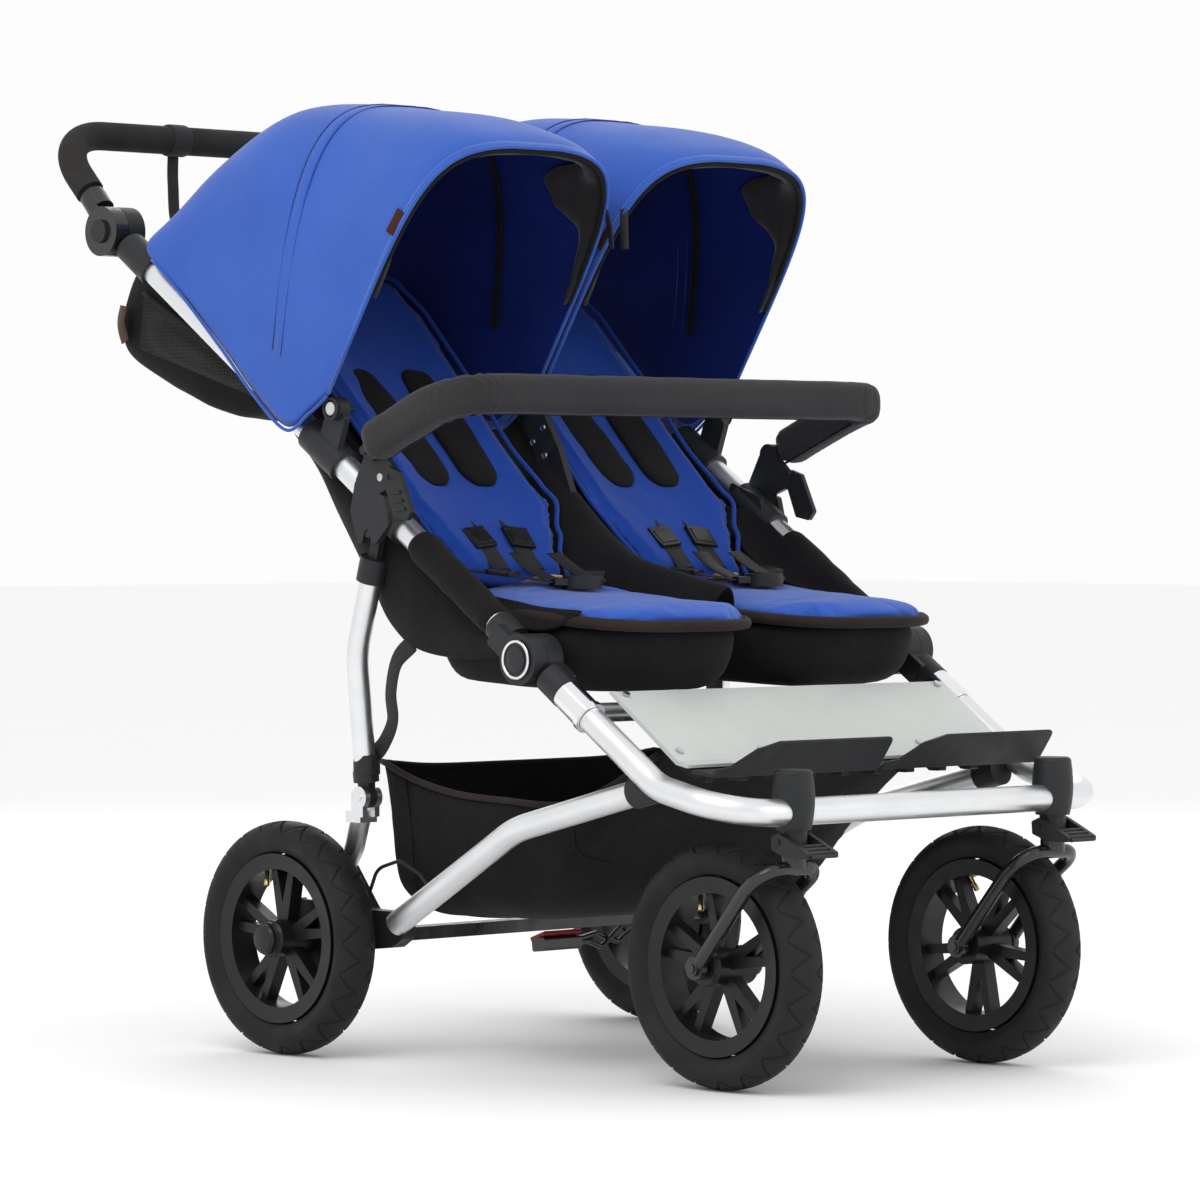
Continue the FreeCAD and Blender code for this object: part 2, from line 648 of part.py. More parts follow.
def make_buckles():
    """A round harness buckle on each cushion, with a push button in it."""
    centre = at(-138, -28, 0)
    case = rod("buckle_blank", centre + Z_AXIS * 508, centre + Z_AXIS * 522, "21")
    well = rod("buckle_well", centre + Z_AXIS * 513, centre + Z_AXIS * 530, "10.3")
    pair("buckles", cut("buckle", case, well))
    twins("buckle_button", rod("button", centre + Z_AXIS * 516, centre + Z_AXIS * 523.5, "10"))


# ---------------------------------------------------------------- upper frame
def make_upper_tubes():
    length = size("upper_length")
    straight = rod("upper_tube_solid", along(34), along(length - 36), "sizes.frame_tube / 2")
    bore = rod("upper_tube_bore", along(30), along(length - 30), "sizes.frame_tube / 2 - sizes.tube_wall")
    pair("upper_tubes", cut("upper_tube", straight, bore))


def make_fold_hinges():
    """The inner hubs stay with the chassis, the outer discs fold with the upper frame."""
    centre = along(0)
    pair("hinge_hubs", hinge_half("hinge_hub", centre, -283, -262, -1, 61.5))
    outer = hinge_half("hinge_outer", centre, -302, -283.5, 1, 62.5)
    blank = fuse("hinge_disc_blank", outer, disc("hinge_cap", -304, -301, centre, "17"))
    seat = rod("hinge_tube_seat", along(33.5), along(70), "sizes.frame_tube / 2 + 0.05")
    pair("hinge_discs", cut("hinge_disc", blank, seat))


def make_latch_housings():
    """The clamp on the upper tube above the rear leg, with cheeks that drop over the leg's pin."""
    sleeve = rod("latch_sleeve", along(238), along(302), "sizes.frame_tube / 2 + 5")
    cheek = [(104, 606), (96, 576), (117, 556), (147, 556), (158, 590), (150, 624)]
    cheeks = [slab("cheek_outer", cheek, -302, -295, 4), slab("cheek_inner", cheek, -273, -266, 4)]
    mouth = [(121, 540), (126.3, 566), (135.7, 566), (146, 540)]
    notch = slab("latch_mouth", mouth, -310, -258, 0.5)
    rounding = disc("latch_round", -310, -258, at(0, 131, 566), "4.8")
    hollow = rod("latch_hollow", along(230), along(340), "sizes.frame_tube / 2 + 0.05")
    blank = fuse("latch_blank", sleeve, *cheeks)
    housing = cut("latch_cleared", blank, fuse("latch_voids", notch, rounding, hollow))
    bracket = disc("bumper_boss", -308, -295, at(0, 120, 655), "12")
    strut = slab("bumper_strut", [(86, 634), (108, 655), (132, 655), (150, 622), (120, 606), (92, 616)],
                 -302, -295, 3)
    lever_pin = disc("lever_pin", -309, -300, at(0, 92, 626), "2.5")
    eye = disc("bumper_axle", -318, -300, at(0, 120, 655), "5")
    pair("latch_housings", fuse("latch_housing", housing, bracket, strut, lever_pin, eye))


def make_latch_levers():
    """The ribbed release on the outside of each latch housing."""
    paddle = [(62, 580), (54, 590), (74, 632), (92, 638), (100, 628), (82, 584)]
    plate = slab("lever_paddle", paddle, -308, -302.4, 3)
    ribs = [slab(f"lever_rib_{number}", [(62 + 4 * number, 591 + 9 * number),
                                         (63.5 + 4 * number, 594 + 9 * number),
                                         (79 + 4 * number, 593 + 9 * number),
                                         (77.5 + 4 * number, 590 + 9 * number)],
                 -310, -307, 0.4) for number in range(3)]
    bore = disc("lever_pin_bore", -312, -300, at(0, 92, 626), "2.5 + sizes.running_gap")
    twins("latch_lever", cut("latch_lever_right", fuse("latch_lever_blank", plate, *ribs), bore))


def make_canopy_clamps():
    """Clamps on the upper tubes with an upright lug that carries the canopy hinge."""
    sleeve = rod("clamp_sleeve", along(356), along(420), "sizes.frame_tube / 2 + 5")
    lug = slab("clamp_upright", [(186, 702), (178, 690), (196, 640), (226, 654), (206, 704)], -292,
               -284, 4)
    knuckle = disc("clamp_knuckle", -296, -282, at(0, 193, 700), "13")
    button = disc("clamp_button", -299, -296, at(0, 193, 700), "8")
    pin = disc("clamp_pin", -283, -266.5, at(0, 193, 700), "3")
    hollow = rod("clamp_hollow", along(350), along(430), "sizes.frame_tube / 2 + 0.05")
    pair("canopy_clamps", cut("canopy_clamp", fuse("clamp_blank", sleeve, lug, knuckle, button, pin),
                              hollow))


def make_seat_hinge_bar():
    """The bar that the seat backs turn on, hung from the side tubes, and the upper crossbar."""
    y, z = size("recline_back"), size("recline_height")
    bar = rod("hinge_bar", at(-266, y, z), at(266, y, z), "sizes.bar_tube / 2")
    plates = []
    for side in (-1, 1):
        outline = [(y - 10, z - 10), (y + 10, z - 10), (y + 34, z + 40), (y + 10, z + 66),
                   (y - 26, z + 44)]
        start = -264.5 if side < 0 else 259.5
        plates.append(slab(f"hanger_{side}", outline, start, start + 5, 5))
    node("seat_hinge_bar", fuse("seat_hinge", bar, *plates))
    upper = rod("upper_bar", along(732, 0, -265.9), along(732, 0, 265.9), "10")
    node("back_crossbar", upper)


def make_centre_bracket():
    """The upright between the seats that carries both inner canopy hinges."""
    y, z = size("recline_back"), size("recline_height")
    plate = slab("centre_plate", [(y - 14, z - 14), (y + 14, z - 14), (206, 690), (204, 712),
                                  (182, 712), (150, 660)],
                 -4.5, 4.5, 6)
    bore = disc("centre_bore", -10, 10, at(0, y, z), "sizes.bar_tube / 2 + 0.02")
    pin = disc("centre_pin", -18, 18, at(0, 193, 700), "3")
    boss = disc("centre_boss", -5.5, 5.5, at(0, 168, 664), "12")
    node("centre_bracket", cut("centre", fuse("centre_blank", plate, pin, boss), bore))


def make_rear_pocket():
    """A fabric pocket that hangs behind the seat backs, open at the top."""
    outer = slab("pocket_outer", [(640, 889), (685, 770), (478, 695), (397, 729), (468, 800),
                                  (540, 844), (600, 893)],
                 -200, 200, 9)
    inner = slab("pocket_inner", [(633, 893), (677, 774), (480, 703), (412, 732), (474, 792),
                                  (546, 838), (604, 893)],
                 -195, 195, 6)
    opening = slab("pocket_mouth", [(560, 852), (600, 884), (604, 930), (640, 930), (636, 884),
                                    (600, 850)],
                   -185, 185, 4)
    node("rear_pocket", cut("pocket", cut("pocket_hollow", outer, inner), opening))


# ---------------------------------------------------------------- rear legs
def make_rear_legs():
    """Bent leg tubes whose top pins sit in the latch housings, and their end fittings."""
    top = [at(-283, 140, 538), at(-279, 174, 437), at(-262, 178, 303)]
    pair("leg_tubes", tube("leg_tube", top, 130, "sizes.leg_tube", "sizes.tube_wall"))
    start, end = top[0], top[1]
    line = (start - end).normalize()
    collar = rod("leg_collar", start - line * 24, start + line * 3, "sizes.leg_tube / 2 + 4")
    tongue = slab("leg_tongue", [(125, 569), (137, 569), (147, 538), (133, 532)], -288, -280, 4)
    pin = disc("latch_pin", -301, -267, at(0, 131, 566), "4")
    low = (top[2] - top[1]).normalize()
    socket = rod("leg_socket", top[2] - low * 8, top[2] + low * 3, "sizes.leg_tube / 2 + 2")
    eye_blank = fuse("leg_eye_blank", disc("leg_eye", -267, -257, at(0, 177, 283), "11.5"),
                     block("leg_neck", at(-267, 169, 283), at(-257, 186, 302)))
    eye = cut("leg_eye_bored", eye_blank, disc("leg_eye_bore", -270, -254, at(0, 177, 283),
                                               "4 + sizes.running_gap"))
    top_seat = rod("leg_top_seat", start - line * 30, start, "sizes.leg_tube / 2 + 0.05")
    low_seat = rod("leg_low_seat", top[2], top[2] - low * 10, "sizes.leg_tube / 2 + 0.05")
    top_fitting = cut("leg_top", fuse("leg_top_blank", collar, tongue, pin), top_seat)
    low_fitting = cut("leg_low", fuse("leg_low_blank", socket, eye), low_seat)
    pair("leg_fittings", add("Part::Compound", "leg_fitting", Links=[top_fitting, low_fitting]))


# ---------------------------------------------------------------- handle
def handle_point(distance, lift=0.0):
    """A place on the handlebar's side, which leaves the handle axis at 45 degrees."""
    hub = along(size("upper_length"))
    turn = math.radians(45)
    return hub + Vector(0, distance * math.cos(turn) - lift * math.sin(turn),
                        distance * math.sin(turn) + lift * math.cos(turn))


def make_handle():
    """Hub halves, handlebar, foam grip and the two angle buttons."""
    hub = along(size("upper_length"))
    inner_disc = disc("handle_inner_disc", -283, -260, hub, "28")
    socket = rod("handle_socket", along(size("upper_length") - 32), along(size("upper_length") - 84),
                 "sizes.frame_tube / 2 + 4")
    hollow = rod("handle_socket_hollow", along(size("upper_length") - 36),
                 along(size("upper_length") - 90),
                 "sizes.frame_tube / 2 + 0.05")
    web = rod("handle_web", along(size("upper_length") - 8, 0, -271.5),
              along(size("upper_length") - 36, 0, -271.5), "11")
    pair("handle_hubs", cut("handle_hub", fuse("handle_hub_blank", inner_disc, socket, web), hollow))

    top = handle_point(166)
    right = [handle_point(40), top]
    left = [Vector(-point.x, point.y, point.z) for point in reversed(right)]
    bar = tube("handle_tube", right + left, 74, "sizes.handle_tube", "sizes.tube_wall")
    ends = []
    for side in (1, -1):
        def across(value):
            return value * side
        flange = disc(f"handle_disc_{side}", across(-302), across(-283.5), hub, "28")
        arm_start = handle_point(12)
        arm_start.x = across(-293)
        arm_end = handle_point(50)
        arm_end.x = across(-290)
        arm = rod(f"handle_arm_{side}", arm_start, arm_end, "8.4")
        neck_start, neck_end = handle_point(36), handle_point(60)
        neck_start.x = neck_end.x = across(SIDE)
        neck = rod(f"handle_neck_{side}", neck_start, neck_end, "15")
        well = disc(f"button_well_{side}", across(-304), across(-292), hub, "13.3")
        ends.append(cut(f"handle_end_{side}", fuse(f"handle_end_blank_{side}", flange, arm, neck), well))
    node("handlebar", fuse("handlebar_whole", bar, *ends))

    right_grip = [handle_point(66), top]
    left_grip = [Vector(-point.x, point.y, point.z) for point in reversed(right_grip)]
    path = add("Part::Feature", "grip_path", Shape=rounded_path(right_grip + left_grip, 74))
    foam = swept("grip_foam", path, "sizes.grip_diameter")
    inside = swept("grip_inside", path, "sizes.handle_tube + 0.1")
    node("handle_grip", cut("grip", foam, inside))
    twins("handle_button", disc("handle_button_right", -306, -296, hub, "13"))


# ---------------------------------------------------------------- canopies and bumper bar
def make_canopies():
    """Each hood is a shell open to the front and below, on a front bow that turns on two hinges."""
    outline = [(40, 956), (64, 984), (190, 1024), (349, 1030), (430, 992), (508, 903), (500, 880),
               (270, 694), (192, 718)]
    outside, inside = 301, 6
    outer = slab("hood_outer", outline, -outside, -inside, 4)
    skin = size("canopy_skin")
    inner_outline = [(10, 946), (62, 978), (190, 1019), (347, 1025), (427, 987), (500, 900), (520, 860),
                     (262, 640), (160, 700)]
    inner = slab("hood_inner", inner_outline, -outside + skin, -inside - skin, 4)
    twins("canopy", cut("hood", outer, inner))
    points = [at(-272, 190, 705), at(-272, 46, 946), at(-13.5, 46, 946), at(-13.5, 190, 705)]
    bow = tube("bow_rod", points, 42, "sizes.bow_radius * 2")
    eyes = [disc("bow_eye_outer", -276, -268, at(0, 193, 700), "9"),
            disc("bow_eye_inner", -17, -10, at(0, 193, 700), "9")]
    bores = fuse("bow_bores", disc("bow_bore_outer", -285, -260, at(0, 193, 700),
                                   "3 + sizes.running_gap"),
                 disc("bow_bore_inner", -22, -8.5, at(0, 193, 700), "3 + sizes.running_gap"))
    twins("canopy_bow", cut("canopy_bow_right", fuse("bow_blank", bow, *eyes), bores))


def make_bumper_bar():
    """The padded bar across both seats; each end turns on the axle of its latch housing."""
    ends = [at(-314, 108, 662), at(-284, -36, 712)]
    path = ends + [Vector(-point.x, point.y, point.z) for point in reversed(ends)]
    bar = tube("bumper_pad", path, 34, "40")
    eyes = []
    for side in (-1, 1):
        low = -324 if side < 0 else 308.5
        eyes.append(disc(f"bumper_eye_{side}", low, low + 15.5, at(0, 120, 655), "15"))
    bores = [disc(f"bumper_bore_{side}", side * 340, side * 290, at(0, 120, 655),
                  "5 + sizes.running_gap") for side in (-1, 1)]
    boss_room = [disc(f"bumper_room_{side}", side * 308.5, side * 270, at(0, 120, 655),
                      "30") for side in (-1, 1)]
    blank = fuse("bumper_blank", bar, *eyes)
    node("bumper_bar", cut("bumper", blank, fuse("bumper_voids", *bores, *boss_room)))


# ---------------------------------------------------------------- build, check and write
make_front_frame()
make_front_sleeves()
make_fold_hinges()
make_lower_tubes()
make_rear_axle()
make_leg_stubs()
make_seat_crossbar()
make_footrest()
make_basket()
make_caster_housings()
make_caster_levers()
make_forks()
make_wheels()
make_brake()
make_brake_cable()
make_seat_bases()
make_seat_backs()
make_buckles()
make_upper_tubes()
make_latch_housings()
make_latch_levers()
make_canopy_clamps()
make_seat_hinge_bar()
make_centre_bracket()
make_rear_pocket()
make_rear_legs()
make_handle()
make_canopies()
make_bumper_bar()

doc.recompute()
failed = [item.Name for item in doc.Objects if "Invalid" in item.State or "Error" in item.State]
if failed:
    raise SystemExit("objects that failed: " + ", ".join(failed))
for made in NODES:
    if made.Shape.isNull() or not made.Shape.isValid() or made.Shape.Volume <= 0:
        raise SystemExit("bad shape: " + made.Label)

os.makedirs("parts", exist_ok=True)
for made in NODES:
    made.Shape.exportStep(f"parts/{made.Label}.step")
whole = FreeCAD.BoundBox()
for made in NODES:
    whole.add(made.Shape.BoundBox)
print(len(NODES), "nodes; box", whole)
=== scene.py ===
"""Looks of a side-by-side twin stroller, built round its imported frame.

Metres, in the frame's own axes: +Z up, -Y to the front, +X to the seated children's left.
Places are given in millimetres from the design datum by place().
Soft pieces are built for the right-hand seat and mirrored for the left one.
"""
import json
from math import copysign, cos, pi, radians, sin

import bmesh
import bpy
from mathutils import Matrix, Vector, noise


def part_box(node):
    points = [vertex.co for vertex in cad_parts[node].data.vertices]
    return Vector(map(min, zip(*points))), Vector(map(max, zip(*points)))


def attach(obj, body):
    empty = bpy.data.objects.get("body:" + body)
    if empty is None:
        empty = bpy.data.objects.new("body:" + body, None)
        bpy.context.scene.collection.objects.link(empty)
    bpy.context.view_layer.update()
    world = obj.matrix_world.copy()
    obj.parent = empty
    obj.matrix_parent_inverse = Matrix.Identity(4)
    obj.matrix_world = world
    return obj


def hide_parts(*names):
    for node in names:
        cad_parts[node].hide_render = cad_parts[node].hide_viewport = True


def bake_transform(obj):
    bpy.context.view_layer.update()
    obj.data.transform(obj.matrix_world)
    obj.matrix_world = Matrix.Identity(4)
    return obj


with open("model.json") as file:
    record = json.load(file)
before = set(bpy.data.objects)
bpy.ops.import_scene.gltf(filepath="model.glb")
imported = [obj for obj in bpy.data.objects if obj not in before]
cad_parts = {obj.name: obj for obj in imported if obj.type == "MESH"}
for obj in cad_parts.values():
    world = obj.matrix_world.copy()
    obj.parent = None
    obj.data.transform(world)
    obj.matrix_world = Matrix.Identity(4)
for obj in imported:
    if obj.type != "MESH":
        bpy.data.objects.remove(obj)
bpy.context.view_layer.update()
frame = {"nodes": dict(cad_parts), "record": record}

JOINTS = {joint["name"]: joint for joint in frame["record"]["behaviour"]["joints"]}
RECLINE_BACK = 90.0
RECLINE_HEIGHT = JOINTS["right_recline"]["pos_m"][2] * 1000
DATUM = RECLINE_BACK - JOINTS["right_recline"]["pos_m"][1] * 1000
FOLD_HEIGHT = JOINTS["frame_fold"]["pos_m"][2] * 1000
FOLD_FRONT = JOINTS["frame_fold"]["pos_m"][1] * 1000 + DATUM
SLOPE = radians(34.3)
BACK_ANGLE = radians(45)
HANDLE_ANGLE = radians(45)
SIDE = 280.0
SEAT_MIDDLE = -138.0
HUB_BACK = JOINTS["handle_angle"]["pos_m"][1] * 1000 + DATUM
HUB_HEIGHT = JOINTS["handle_angle"]["pos_m"][2] * 1000


# ---------------------------------------------------------------- places
def place(x, y, z):
    """Millimetres from the design datum to metres in the frame."""
    return Vector((x, y - DATUM, z)) / 1000


def on_tube(distance, lift=0.0, x=-SIDE):
    """A place on the upper side tube's line, from the fold axis, lifted square to it."""
    y = FOLD_FRONT + distance * cos(SLOPE) - lift * sin(SLOPE)
    z = FOLD_HEIGHT + distance * sin(SLOPE) + lift * cos(SLOPE)
    return place(x, y, z)


def on_back(x, distance, lift=0.0):
    """A place on a seat back: along it from the recline axis and in front of its middle plane."""
    y = RECLINE_BACK + distance * cos(BACK_ANGLE) - lift * sin(BACK_ANGLE)
    z = RECLINE_HEIGHT + distance * sin(BACK_ANGLE) + lift * cos(BACK_ANGLE)
    return place(x, y, z)


def on_handle(distance, x):
    """A place on the handlebar, whose sides rise from the handle axis."""
    y = HUB_BACK + distance * cos(HANDLE_ANGLE)
    z = HUB_HEIGHT + distance * sin(HANDLE_ANGLE)
    return place(x, y, z)


BACK_FACE = Vector((0, -sin(BACK_ANGLE), cos(BACK_ANGLE)))
TUBE_FACE = Vector((0, -sin(SLOPE), cos(SLOPE)))
UP = Vector((0, 0, 1))


# ---------------------------------------------------------------- numbers and curves
def between(table, key):
    """Smooth interpolation in a list of (key, value) pairs."""
    if key <= table[0][0]:
        return table[0][1]
    for (low, first), (high, second) in zip(table, table[1:]):
        if key <= high:
            share = (key - low) / (high - low)
            share = share * share * (3 - 2 * share)
            return first + (second - first) * share
    return table[-1][1]


def smooth_path(points, count):
    """Evenly counted points on a Catmull-Rom curve through the given ones."""
    points = [Vector(point) for point in points]
    ends = [points[0] * 2 - points[1]] + points + [points[-1] * 2 - points[-2]]
    spans = len(points) - 1
    made = []
    for index in range(count):
        at = index / (count - 1) * spans
        span = min(int(at), spans - 1)
        t = at - span
        a, b, c, d = ends[span:span + 4]
        made.append(0.5 * (2 * b + (c - a) * t + (2 * a - 5 * b + 4 * c - d) * t * t
                           + (3 * b - 3 * c + d - a) * t ** 3))
    return made


def tangents(points):
    """The direction of a path at each of its points."""
    last = len(points) - 1
    return [(points[min(i + 1, last)] - points[max(i - 1, 0)]).normalized() for i in range(last + 1)]


def super_ellipse(count, power):
    """Points of a rounded rectangle of half sizes 1, as (across, up)."""
    made = []
    for index in range(count):
        angle = 2 * pi * index / count
        c, s = cos(angle), sin(angle)
        made.append((copysign(abs(c) ** (2 / power), c), copysign(abs(s) ** (2 / power), s)))
    return made


def ripple(point, size, seed=0.0):
    """Smooth noise from -1 to 1 that repeats nothing, at a size in metres."""
    return noise.noise(point / size + Vector((seed, seed * 1.7, seed * 0.3)))


# ---------------------------------------------------------------- meshes
def mesh_piece(name, points, faces, material):
    """A smooth-shaded object from points and faces."""
    mesh = bpy.data.meshes.new(name)
    mesh.from_pydata([tuple(point) for point in points], [], faces)
    mesh.validate()
    mesh.materials.append(material)
    mesh.shade_smooth()
    piece = bpy.data.objects.new(name, mesh)
    bpy.context.scene.collection.objects.link(piece)
    return piece


def loft(name, rings, material, caps=True, closed=False):
    """Closed rings of points joined in a row, with fan caps at both ends."""
    size = len(rings[0])
    points = [point for ring in rings for point in ring]
    faces = []
    for row in range(len(rings) if closed else len(rings) - 1):
        following = (row + 1) % len(rings)
        for column in range(size):
            after = (column + 1) % size
            faces.append((row * size + column, row * size + after,
                          following * size + after, following * size + column))
    if caps and not closed:
        for row, flip in ((0, True), (len(rings) - 1, False)):
            ring = rings[row]
            middle = sum((Vector(point) for point in ring), Vector()) / size
            points.append(middle)
            for column in range(size):
                after = (column + 1) % size
                corner = (row * size + column, row * size + after, len(points) - 1)
                faces.append(corner[::-1] if flip else corner)
    piece = mesh_piece(name, points, faces, material)
    return outward(piece)


def outward(piece):
    """Turn a closed piece's faces outwards."""
    work = bmesh.new()
    work.from_mesh(piece.data)
    bmesh.ops.recalc_face_normals(work, faces=work.faces)
    work.to_mesh(piece.data)
    work.free()
    return piece


def skin(name, rows, material, thickness, offset=-1.0, levels=0):
    """An open sheet over rows of points, given a thickness."""
    size = len(rows[0])
    points = [point for row in rows for point in row]
    faces = [(r * size + c, r * size + c + 1, (r + 1) * size + c + 1, (r + 1) * size + c)
             for r in range(len(rows) - 1) for c in range(size - 1)]
    piece = mesh_piece(name, points, faces, material)
    solid = piece.modifiers.new("thickness", "SOLIDIFY")
    solid.thickness = thickness
    solid.offset = offset
    if levels:
        subdivide(piece, levels)
    return piece


def subdivide(piece, levels=1):
    made = piece.modifiers.new("subdivision", "SUBSURF")
    made.levels = levels
    made.render_levels = levels
    return piece


def pipe(name, points, radius, material, sides=10, count=None, flat=1.0):
    """A round bar along a smooth path; flat squashes it along its own up direction."""
    path = smooth_path(points, count or 4 * len(points)) if count != 0 else [Vector(p) for p in points]
    along = tangents(path)
    side = along[0].cross(UP if abs(along[0].z) < 0.9 else Vector((1, 0, 0))).normalized()
    rings = []
    for point, direction in zip(path, along):
        side = (side - direction * side.dot(direction)).normalized()
        up = direction.cross(side)
        rings.append([point + side * (radius * cos(a)) + up * (radius * flat * sin(a))
                      for a in (2 * pi * k / sides for k in range(sides))])
    return loft(name, rings, material)


def strap(name, points, face, width, thickness, material, count=None):
    """A flat webbing strap along a path; face is the way its broad side looks."""
    path = smooth_path(points, count or 8 * len(points))
    half, thin = width / 2, thickness / 2
    outline = [(-half, -thin * 0.4), (-half * 0.93, -thin), (0, -thin), (half * 0.93, -thin),
               (half, -thin * 0.4), (half, thin * 0.4), (half * 0.93, thin), (0, thin),
               (-half * 0.93, thin), (-half, thin * 0.4)]
    rings = []
    for point, direction in zip(path, tangents(path)):
        side = direction.cross(face).normalized()
        up = side.cross(direction)
        rings.append([point + side * across + up * lift for across, lift in outline])
    return loft(name, rings, material)


def cushion(name, path, face, half_widths, half_thicks, material, power=3, sides=28):
    """A closed padded form along a path; its section is a rounded rectangle."""
    rings = []
    shape = super_ellipse(sides, power)
    for point, direction, half, thick in zip(path, tangents(path), half_widths, half_thicks):
        side = direction.cross(face).normalized()
        up = side.cross(direction)
        rings.append([point + side * (across * half) + up * (lift * thick) for across, lift in shape])
    return loft(name, rings, material)


def block(name, centre, size, material, turn=None, bevel=0.001):
    """A moulded block with rounded edges; turn is a matrix of its axes."""
    work = bmesh.new()
    bmesh.ops.create_cube(work, size=1)
    for vert in work.verts:
        local = Vector((vert.co.x * size[0], vert.co.y * size[1], vert.co.z * size[2]))
        vert.co = centre + (turn @ local if turn else local)
    mesh = bpy.data.meshes.new(name)
    work.to_mesh(mesh)
    work.free()
    mesh.materials.append(material)
    piece = bpy.data.objects.new(name, mesh)
    bpy.context.scene.collection.objects.link(piece)
    made = piece.modifiers.new("bevel", "BEVEL")
    made.width = bevel
    made.segments = 2
    made.limit_method = "ANGLE"
    made.angle_limit = radians(40)
    made.harden_normals = True
    mesh.shade_smooth()
    return piece


def lathe(name, centre, axis, profile, material, steps=40, closed=False):
    """A turned form: profile is (along the axis, radius) pairs in metres."""
    axis = Vector(axis).normalized()
    side = axis.orthogonal().normalized()
    up = axis.cross(side)
    rings = []
    for along, radius in profile:
        rings.append([centre + axis * along + side * (radius * cos(a)) + up * (radius * sin(a))
                      for a in (2 * pi * k / steps for k in range(steps))])
    piece = loft(name, rings, material, caps=not closed, closed=closed)
    piece.data.set_sharp_from_angle(angle=radians(35))
    return piece


def join(name, pieces):
    """Several pieces made one, with their modifiers applied."""
    depsgraph = bpy.context.evaluated_depsgraph_get()
    whole = bmesh.new()
    materials = []
    for piece in pieces:
        mesh = bpy.data.meshes.new_from_object(piece.evaluated_get(depsgraph))
        base = len(whole.faces)
        whole.from_mesh(mesh)
        whole.faces.ensure_lookup_table()
        for face in whole.faces[base:]:
            used = mesh.materials[face.material_index] if mesh.materials else None
            if used not in materials:
                materials.append(used)
            face.material_index = materials.index(used)
        bpy.data.objects.remove(piece)
    mesh = bpy.data.meshes.new(name)
    whole.to_mesh(mesh)
    whole.free()
    for used in materials:
        mesh.materials.append(used)
    made = bpy.data.objects.new(name, mesh)
    bpy.context.scene.collection.objects.link(made)
    return made


def displace(piece, shift):
    """Move every point of a piece by shift(point, normal)."""
    moves = [shift(vert.co.copy(), vert.normal.copy()) for vert in piece.data.vertices]
    for vert, move in zip(piece.data.vertices, moves):
        vert.co += move
    piece.data.update()
    return piece


def crumple(piece, *ripples):
    """Move a piece's points along their normals by ripples of (height, size, seed)."""
    def shift(point, normal):
        return normal * sum(height * ripple(point, size, seed) for height, size, seed in ripples)
    return displace(piece, shift)


def mirror(piece, name):
    """The left-hand twin of a piece."""
    mesh = piece.data.copy()
    mesh.name = name
    for vert in mesh.vertices:
        vert.co.x = -vert.co.x
    mesh.flip_normals()
    made = bpy.data.objects.new(name, mesh)
    bpy.context.scene.collection.objects.link(made)
    for source in piece.modifiers:
        copy = made.modifiers.new(source.name, source.type)
        for key in ("thickness", "offset", "levels", "render_levels", "width", "segments", "limit_method",
                    "angle_limit", "harden_normals", "material_offset", "material_offset_rim"):
            if hasattr(source, key):
                setattr(copy, key, getattr(source, key))
    return made


# ---------------------------------------------------------------- putting pieces on the frame
def put(piece, body, *nodes, slot=None):
    """Let a piece ride on a body, in place of any named nodes."""
    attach(piece, body)
    slot or slot_of(piece)
    if nodes:
        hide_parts(*nodes)
    return piece


def left_name(text):
    """The left-hand name for a right-hand one."""
    return text.replace("right", "left")


def put_pair(piece, body, *nodes, slot=None):
    """Place a right-hand piece and its left-hand twin."""
    twin = mirror(piece, left_name(piece.name))
    put(piece, body, *nodes, slot=slot)
    put(twin, left_name(body), *[left_name(node) for node in nodes], slot=slot)
    return piece, twin


def blend_pair(piece, first, second, start, end, *nodes):
    """A right-hand piece and its twin, both fixed where they are made, in place of any named nodes."""
    twin = mirror(piece, left_name(piece.name))
    for made, rename in ((piece, str), (twin, left_name)):
        slot_of(made)
        if nodes:
            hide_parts(*[rename(node) for node in nodes])
        rename(first)
        rename(second)
        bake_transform(made)
    return piece, twin


# ---------------------------------------------------------------- materials
def fill_in(node, **values):
    """Set a shader node's named inputs; an underscore stands for a space."""
    for key, value in values.items():
        node.inputs[key.replace("_", " ")].default_value = value


